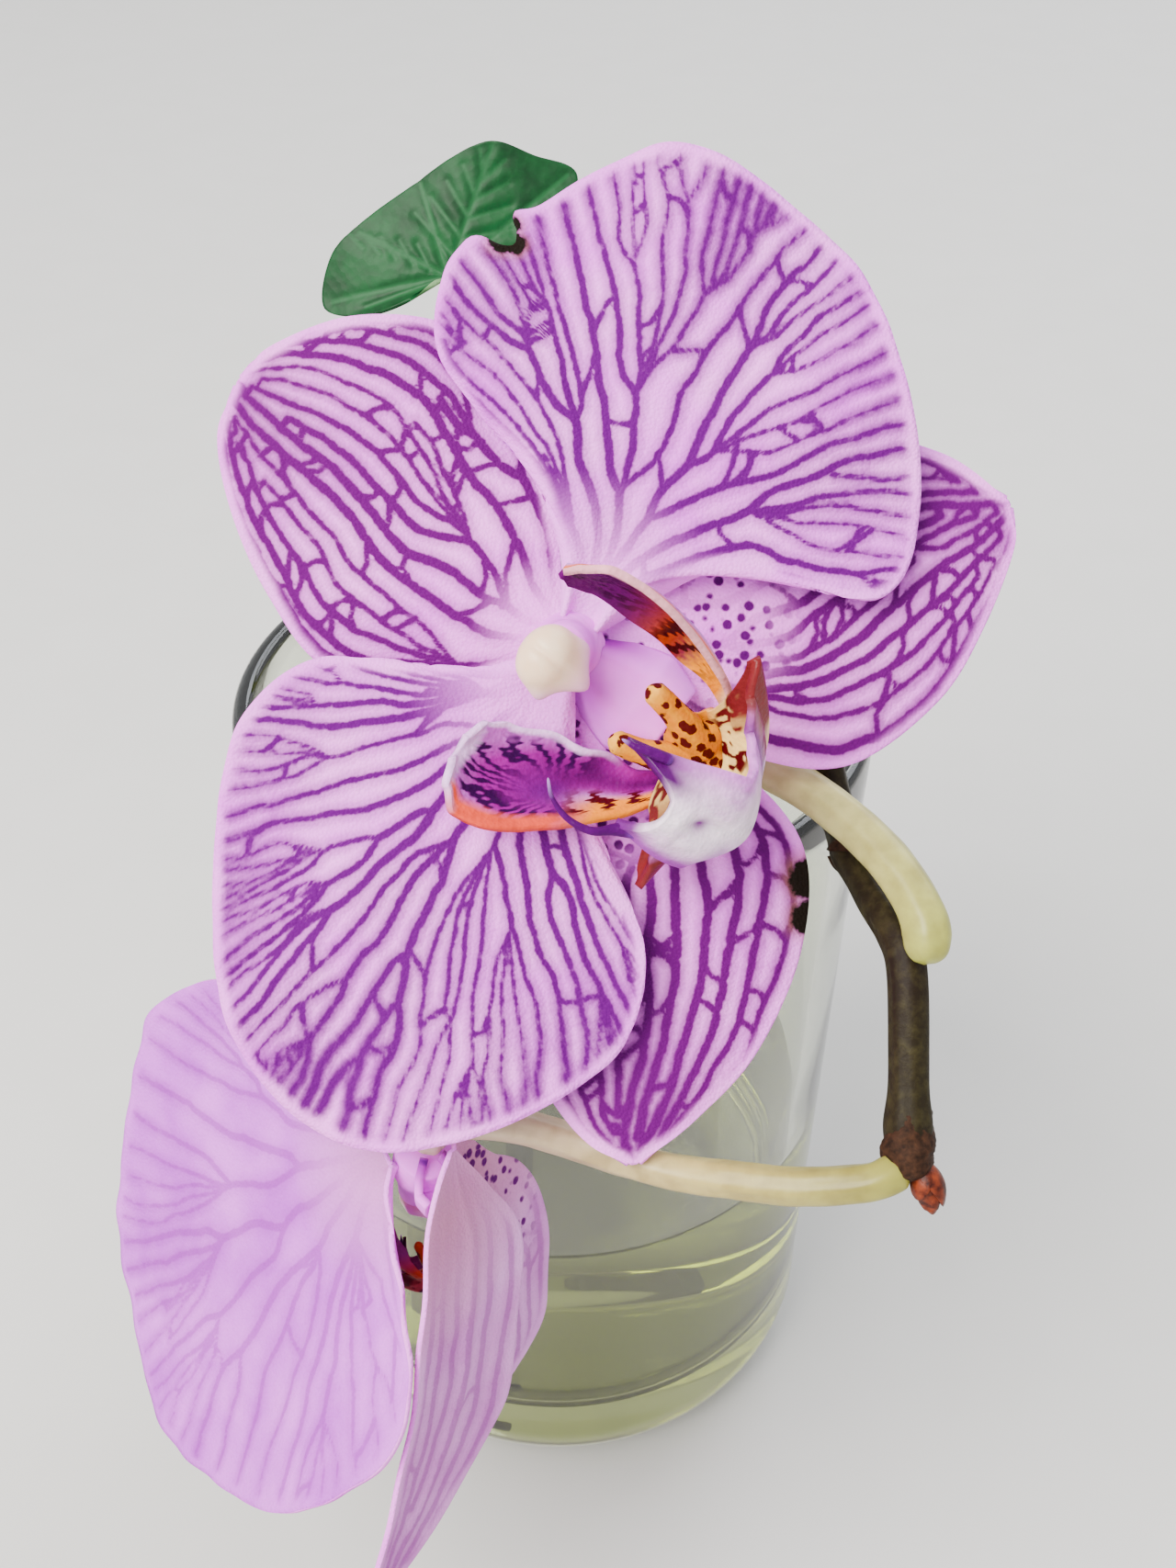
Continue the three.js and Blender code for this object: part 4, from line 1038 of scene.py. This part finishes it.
def build_cap(prefix, flower, turn, girth):
    """The hood on a column's end: a drawn-out ball with its lobes, flat below and seamed on top."""
    bm = bmesh.new()
    bmesh.ops.create_uvsphere(bm, u_segments=56, v_segments=36, radius=1)
    tip = bm.verts.layers.float.new("tip")
    for corner in bm.verts:
        unit = corner.co.copy()
        point = Vector((unit.x * 2.4, unit.y * 3.0, unit.z * 2.3))
        for way, reach, narrow in CAP_LOBES:
            point += way * (max(0.0, unit.dot(way)) ** narrow * reach)
            corner[tip] = min(1.0, corner[tip] + 0.8 * max(0.0, unit.dot(way)) ** narrow)
        point.z = max(point.z, -1.45)
        seam = 0.28 * math.exp(-(unit.y / 0.13) ** 2) * max(0.0, unit.z)
        corner.co = (point - unit * seam) * (MM * girth)
    place = Matrix.Translation(Vector((-1.9, -1.4, 9.3)) * MM)
    bmesh.ops.transform(bm, matrix=flower @ turned(turn) @ place @ turned(LIP_AZIMUTH), verts=bm.verts)
    finished(bm, prefix + "_cap_hood", cap_paint, [prefix + "_anther_cap"])


HANGING_TURN = 101.5
build_column("front_flower", front, turn=0, size=1, girth=1)
build_cap("front_flower", front, turn=0, girth=1)
build_column("hanging_flower", hanging, turn=HANGING_TURN, size=0.42, girth=0.84)
build_cap("hanging_flower", hanging, turn=HANGING_TURN, girth=0.84)


# ---- Lip ----
# One waxy, strongly marked organ: two cupped side lobes, deep purple with fanned streaks and a
# salmon rolled edge, a yellow forked callus with maroon spots, and a midlobe that is cream barred
# with maroon inside, horned at both sides, and swells white-lilac outside, with two tendrils.
def painted(base, *coats):
    """A tint for each point: the base colour, then each coat as (colour, how much of it)."""
    tint = np.ones((len(coats[0][1]), 1)) * np.array(colour(base)[:3])
    for code, share in coats:
        share = np.clip(share, 0, 1)[:, None]
        tint = tint * (1 - share) + np.array(colour(code)[:3]) * share
    return tint


def eased(t, at, values):
    """Stations joined smoothly, level at each."""
    at, values = np.array(at), np.array(values)
    k = np.clip(np.searchsorted(at, t, side="right") - 1, 0, len(at) - 2)
    s = np.clip((t - at[k]) / (at[k + 1] - at[k]), 0, 1)
    return values[k] + (values[k + 1] - values[k]) * s * s * (3 - 2 * s)


def bump_at(t, middle, width):
    """A soft hump of height 1 round the middle."""
    return np.exp(-((t - middle) / width) ** 2)


def wobble(u, v, seed=0.0):
    """An uneven ripple between -1 and 1 that roughens the edge of a mark."""
    broad = 0.5 * np.sin(23 * u + 9 * v + seed) + 0.3 * np.sin(51 * v - 37 * u + 2 * seed)
    return broad + 0.2 * np.sin(97 * u + 83 * v)


def painted_wax(name, mark, rough, spots=0.0, coat=0.0):
    """Waxy tissue tinted by a mark of its mesh, with fine cells, mottling and, on the callus, spots."""
    made, tree, shader = material(
        name, Roughness=rough, IOR=1.45, Specular_IOR_Level=0.06, Subsurface_Weight=0.08,
        Subsurface_Radius=(1.0, 0.5, 0.5), Subsurface_Scale=0.0005, Coat_Weight=coat, Coat_Roughness=0.2,
    )
    where = add(tree, "TexCoord").outputs["Object"]
    base = add(tree, "Attribute", attribute_name=mark).outputs["Color"]
    mottle = add(tree, "TexNoise", {"Vector": where, "Scale": 900, "Detail": 4}).outputs["Fac"]
    span = {"From Min": 0.3, "From Max": 0.7, "To Min": 0.78, "To Max": 1.04}
    shade = add(tree, "MapRange", {"Value": mottle, **span}).outputs["Result"]
    both = {SHARE: 1.0, UNDER: base, OVER: shade}
    base = add(tree, "Mix", both, data_type="RGBA", blend_type="MULTIPLY").outputs[MIXED]
    if spots:
        stir = add(tree, "TexNoise", {"Vector": where, "Scale": 1100, "Detail": 2}).outputs["Color"]
        both = {SHARE: 0.0009, UNDER: where, OVER: stir}
        stirred = add(tree, "Mix", both, data_type="RGBA", blend_type="ADD").outputs[MIXED]
        dots = add(tree, "TexVoronoi", {"Vector": stirred, "Scale": spots}).outputs["Distance"]
        dots = add(tree, "MapRange", {"Value": dots, "From Min": 0.42, "From Max": 0.36}).outputs["Result"]
        amount = add(tree, "Attribute", attribute_name="spots").outputs["Fac"]
        dots = add(tree, "Math", {0: dots, 1: amount}, operation="MULTIPLY").outputs[0]
        both = {SHARE: dots, UNDER: base, OVER: colour("#480A08")}
        base = add(tree, "Mix", both, data_type="RGBA").outputs[MIXED]
    tree.links.new(base, shader.inputs["Base Color"])
    cells = add(tree, "TexVoronoi", {"Vector": where, "Scale": 2600}).outputs["Distance"]
    height = add(tree, "Math", {0: mottle, 1: 1.5, 2: cells}, operation="MULTIPLY_ADD").outputs[0]
    bump = add(tree, "Bump", {"Height": height, "Strength": 0.3, "Distance": 0.0002})
    tree.links.new(bump.outputs["Normal"], shader.inputs["Normal"])
    return made


lobe_inner = painted_wax("side_lobe_inner", "tint", 0.3)
lobe_outer = painted_wax("side_lobe_outer", "tint_back", 0.36)
mid_inner = painted_wax("midlobe_inner", "tint", 0.5)
mid_outer = painted_wax("midlobe_outer", "tint_back", 0.4, coat=0.2)
callus_paint = painted_wax("callus_wax", "tint", 0.5, spots=760.0)
tendril_paint = painted_wax("tendril_wax", "tint", 0.3)

LOBE_FOOT = [[15, 4.6, 0.4], [12.5, 7.1, 2.1], [8.5, 9.4, 4], [4, 10.8, 6.6]]
LOBE_TIPS = {-1: [[0.6, 11, 8.2], [-2, 10.4, 9.4]], 1: [[0.2, 10.6, 8.2], [-3.4, 9.2, 9.2]]}
MID_SPINE = [
    [12.6, 0, 0.6], [15.5, 0, 0.8], [19, 0, 3.2], [21.4, 0, 8], [20.6, 0, 12.4], [17.2, 0, 15.4],
    [13.2, 0, 16.4],
]
MID_STATIONS = [0, 0.1, 0.2, 0.27, 0.31, 0.37, 0.44, 0.55, 0.75, 1]
MID_HALF_WIDTHS = [2.6, 3.8, 6.6, 10.0, 10.6, 8.4, 6.6, 5.7, 5.0, 4.2]


def side_lobe_form(side, width):
    spine = curve(LOBE_FOOT + LOBE_TIPS[side])

    def place(u, v):
        w = side * (2 * v - 1)
        half = width * eased(u, [0, 0.2, 0.45, 0.7, 0.86, 0.95, 1], [1.8, 2.6, 4.4, 5.5, 5.1, 3.7, 1.2])
        point = spine(u) + np.outer(w * half, [0.1, 0.63, 0.77])
        cup = 1.6 * w * w * np.sin(np.pi * np.minimum(u, 0.85))
        roll = 2.4 * np.clip(w - 0.7, 0, 1) ** 1.3 * np.sin(np.pi * u)
        point -= np.outer(cup, [0, 0.77, -0.63])
        point += np.outer(roll, [0, 0.5, -0.5])
        point += np.outer(0.16 * np.sin(21 * u + 3 * w) * w * w, [0, 0.6, 0.6])
        point[:, 1] *= side
        return point
    return place


def side_lobe_marks(side):
    def read(u, v):
        w = side * (2 * v - 1)
        rough = wobble(u, v, side)
        angle = np.arctan2(w - 0.05, (u - 0.48) * 1.9)
        reach = np.hypot(w, (u - 0.48) * 1.9)
        fan_lines = np.clip(1.8 * np.sin(23 * angle + 2.6 * rough + 3 * np.sin(5 * angle)) + 0.6, 0, 1)
        fan_lines = fan_lines * np.clip((u - 0.3) * 5, 0, 1) * np.clip((1.06 + 0.1 * rough - reach) * 7, 0, 1)
        rim = np.clip((np.maximum(np.abs(w), (u - 0.52) * 2.1) + 0.03 * rough - 0.86) * 12, 0, 1)
        rim = rim * np.where(w > 0.55, np.clip((u - 0.85) * 9, 0, 1), np.clip((u - 0.3) * 5, 0, 1))
        bars = np.clip(2.2 * np.sin(44 * u + 5 * w + 2 * rough) - 0.3, 0, 1)
        if side < 0:
            tint = painted(
                "#9A0490",
                ("#C468D0", 0.6 * np.clip((reach - 0.72) * 4, 0, 1) * np.clip((u - 0.4) * 6, 0, 1)),
                ("#D080D8", 0.8 * bump_at(w, 0.12, 0.2) * bump_at(u, 0.34, 0.14)),
                ("#540068", 0.95 * bump_at(reach, 0.0, 0.5) * np.clip((u - 0.36) * 6, 0, 1)),
                ("#5A0058", 0.9 * bump_at(w, -0.45, 0.36) * np.clip((0.8 - u) * 3, 0, 1)),
                ("#30003E", fan_lines * np.clip((reach - 0.3) * 3, 0, 1)),
                ("#F08A08", np.clip((w - 0.0) * 3, 0, 1) * np.clip((0.46 - u) * 6, 0, 1)),
                ("#480410", 1.6 * bars * np.clip((w + 0.25) * 3, 0, 1) * np.clip((0.5 - u) * 6, 0, 1)
                 * np.clip((0.8 - w) * 5, 0, 1)),
                ("#E04A34", np.clip((w - 0.62) * 6, 0, 1) * np.clip((u - 0.3) * 6, 0, 1)),
                ("#E8B4F2", rim),
            )
        else:
            tint = painted(
                "#580058",
                ("#30002E", 0.9 * fan_lines * np.clip((u - 0.55) * 6, 0, 1)),
                ("#A03008", bump_at(u, 0.5, 0.13) + 0.6 * bump_at(u, 0.66, 0.08) * np.clip(w + 0.3, 0, 1)),
                ("#F29200", np.clip((0.43 + 0.05 * rough - u) * 8, 0, 1)),
                ("#F6D9C0", np.clip((0.16 - u) * 9, 0, 1)),
                ("#3A040A", 1.5 * bars * bump_at(u, 0.42, 0.14) * np.clip((0.6 - w) * 4, 0, 1)),
                ("#EEA6B4", np.clip((w - 0.72) * 8, 0, 1) * 0.9),
            )
        back = painted(
            "#C486D6", ("#DC6A3A", np.clip((w - 0.5) * 3, 0, 1)), ("#7E2A9C", 0.5 * fan_lines),
            ("#F8B040", np.clip((0.35 - u) * 4, 0, 1)),
        )
        return {"tint": tint, "tint_back": back}
    return read


def midlobe_form(u, v):
    w = 2 * v - 1
    point = curve(MID_SPINE)(u)
    half = eased(u, MID_STATIONS, MID_HALF_WIDTHS)
    horn = np.clip((np.abs(w) - 0.5) / 0.5, 0, 1) ** 1.5 * bump_at(u, 0.3, 0.08)
    dome = np.clip((u - 0.36) / 0.3, 0, 1)
    point[:, 1] = w * half
    point[:, 0] -= (4.2 * np.sin(np.pi * np.minimum(1, 1.4 * u)) + 0.6 * dome) * w * w
    point[:, 2] += 1.4 * w * w * np.sin(np.pi * u) * (1 - dome) - 2.3 * w * w * dome + 1.0 * horn
    point[:, 0] += horn * np.where(w > 0, -1.8, 2.6)
    point[:, 1] += horn * np.where(w > 0, 1.2, -1.3)
    point[:, 2] -= 1.6 * bump_at(u, 0.36, 0.07) * np.clip(2 * w, 0, 1) * np.clip(2.6 - 2.6 * np.abs(w), 0, 1)
    point[:, 2] -= 0.9 * bump_at(u, 0.72, 0.1) * bump_at(w, 0.1, 0.28)
    point[:, 0] += 0.5 * bump_at(u, 0.5, 0.12) * bump_at(w, -0.15, 0.4)
    apex = np.clip((u - 0.84) / 0.16, 0, 1)
    point[:, 0] += 2.2 * apex * (1 - w * w)
    point[:, [0, 2]] -= 0.55 * (bump_at(u, 0.79, 0.05) * bump_at(w, 0.05, 0.2))[:, None]
    corner = np.clip((w - 0.3) / 0.7, 0, 1) ** 1.6 * np.clip((u - 0.74) / 0.26, 0, 1) ** 1.5
    point -= np.outer(corner, [3.4, 1.9, 0.2])
    return point


def midlobe_marks(u, v):
    w = 2 * v - 1
    rough = wobble(u, v, 3)
    horn = 1.6 * np.clip((np.abs(w) - 0.6 + 0.08 * rough) * 8, 0, 1) * bump_at(u, 0.3, 0.1)
    bars = np.clip(3.4 * np.sin(15 * w + 9 * u + 3 * rough) - 1.2, 0, 1)
    tint = painted(
        "#EEC878", ("#D88400", np.clip((0.16 - u) * 14, 0, 1)), ("#D8A8DC", np.clip((u - 0.42) * 5, 0, 1)),
        ("#4A0208", 2.2 * bars * bump_at(u, 0.21, 0.08)), ("#701C20", horn),
    )
    back = painted(
        "#F8E4F4",
        # Painted shade: lilac-violet deepening towards the dome's sides, where it turns away, and towards the
        # throat, with a little mottling in it.
        ("#CC74D0", 1.1 * np.abs(w) ** 1.6 + 0.22 * np.clip(rough, 0, 1) + 0.5 * np.clip(0.56 - u, 0, 1)),
        ("#90309C", 0.85 * np.clip((-w - 0.62) * 4, 0, 1) * np.clip((u - 0.5) * 5, 0, 1)),
        ("#861C90", bump_at(u, 0.79, 0.03) * bump_at(w, 0.05, 0.16)),
        ("#B462C4", 0.6 * bump_at(u, 0.64, 0.06) * bump_at(w, -0.35, 0.3)),
        ("#4C0058", np.clip((u - 0.84) * 9, 0, 1) * np.clip((w - 0.3) * 3, 0, 1)),
        ("#621070", np.clip((u - 0.9) * 9, 0, 1) * np.clip((-w - 0.5) * 4, 0, 1)),
        ("#EEC878", np.clip((0.4 + 0.03 * rough - u) * 16, 0, 1) * np.clip((w + 0.1) * 6, 0, 1)),
        ("#4A0208", 2.2 * bars * bump_at(u, 0.31, 0.08) * np.clip(w * 5, 0, 1)),
        ("#701C20", horn),
        ("#621070", 0.7 * bump_at(u, 0.43, 0.025) * np.clip(w * 4, 0, 1)),
        ("#F09410", np.clip((0.16 - u) * 9, 0, 1)),
    )
    return {"tint": tint, "tint_back": back}


def crest_form(u, v):
    """The ridged cushion that joins the callus's two prongs."""
    turn = 2 * np.pi * v
    ridges = 1 + 0.13 * np.cos(4 * turn) * np.sin(np.pi * u)
    half = 2.9 * ridges * np.sin(np.pi * u)
    return np.column_stack([14.6 + half * np.cos(turn), half * np.sin(turn), 1.5 + 1.5 * np.cos(np.pi * u)])


def callus_marks(u, v):
    tint = painted(
        "#CC7400", ("#F0B040", np.clip((u - 0.78) * 5, 0, 1)), ("#DE9600", 0.5 * np.sin(6 * np.pi * v) ** 2),
    )
    return {"tint": tint, "spots": np.ones(len(u))}


def tendril_marks(u, v):
    return {"tint": painted(
        "#4A0058", ("#A878C4", np.clip((u - 0.82) * 6, 0, 1)), ("#7A40A0", np.clip((0.12 - u) * 8, 0, 1)),
    )}


SHORT_TENDRIL = [[13.2, 3.4, 14.4], [11.6, 3.2, 14.9], [10.2, 2.8, 15.2], [8.8, 2.6, 15.2]]
LONG_TENDRIL = [
    [14.6, -3.6, 13.9], [13.0, -4.6, 14.4], [11.4, -5.4, 15.8], [9.2, -5.7, 16.0], [7.2, -5.1, 15.9],
    [5.9, -4.0, 15.6],
]
TENDRILS = {1: (SHORT_TENDRIL, [0.5, 0.5, 0.32, 0.12], 4.6), -1: (LONG_TENDRIL, [0.8, 0.4, 0.25, 0.12], 11)}
PRONG_SPINE = [[15.8, 0.5, 1.6], [13.4, 1.5, 2.7], [10.6, 2.5, 3.4], [7.8, 3.1, 4]]


def build_lip(prefix, flower, turn, lean, swing, size, reach, painted_shade=(1, 1, 1)):
    """A whole lip; reach is how far out it stands, and the last factors darken it as painted shade."""
    out = turned(LIP_AZIMUTH).to_3x3() @ Vector((reach, 0, 0)) * MM
    stand = Matrix.Translation(out + Vector((0, 0, 0.0035)))
    matrix = flower @ turned(turn) @ stand @ turned(LIP_AZIMUTH, -swing, lean) @ Matrix.Scale(size, 4)
    node = [prefix + "_lip"]
    detail = 1 if size == 1 else 0.4  # a smaller lip has fewer faces

    def tinted(marks):
        def read(u, v):
            found = marks(u, v)
            # Every tint is darkened by the factors: painted shade.
            tints = {mark: tint * np.array(painted_shade) for mark, tint in found.items() if "tint" in mark}
            return {**found, **tints}
        return read

    def blade(name, rows, columns, form, paint, marks, thickness):
        made = grid_piece(
            f"{prefix}_{name}", int(rows * detail), int(columns * detail), form, paint, node,
            tinted(marks), matrix,
        )
        thicken(made, thickness, inner=1)

    for side, word, width in ((1, "upper", 0.66), (-1, "lower", 1.0)):
        blade(
            f"side_lobe_{word}", 170, 90, side_lobe_form(side, width), [lobe_inner, lobe_outer],
            side_lobe_marks(side), 0.7 * size,
        )
        prong = [[x, side * y, z] for x, y, z in PRONG_SPINE]
        prong_radius = lambda t: eased(t, [0, 0.35, 0.7, 0.9, 1], [1.5, 1.5, 1.15, 1.1, 0.8])
        prong_form = tube(prong, closed(prong_radius, 9, rounding=1.1), seed=side + 5)
        grid_piece(
            f"{prefix}_callus_{word}", 56, 32, prong_form, callus_paint, node, tinted(callus_marks),
            matrix, weld=True,
        )
        path, widths, length = TENDRILS[side]
        tendril_radius = lambda t: np.interp(t, [0, 0.3, 0.7, 1], widths)
        tendril_form = tube(path, closed(tendril_radius, length, rounding=0.5), seed=9)
        grid_piece(
            f"{prefix}_tendril_{word}", 80, 16, tendril_form, tendril_paint, node, tendril_marks,
            matrix, weld=True,
        )
    blade("midlobe", 160, 110, midlobe_form, [mid_outer, mid_inner], midlobe_marks, 0.8 * size)
    grid_piece(
        prefix + "_callus_crest", 36, 48, crest_form, callus_paint, node, tinted(callus_marks), matrix,
        weld=True,
    )


build_lip("front_flower", front, turn=0, lean=25.5, swing=0, size=1, reach=0)
build_lip(
    "hanging_flower", hanging, turn=HANGING_TURN, lean=0, swing=40, size=0.42, reach=3.5,
    # The hanging lip is darkened as painted shade, deep in its half-open flower.
    painted_shade=(0.35, 0.08, 0.2),
)
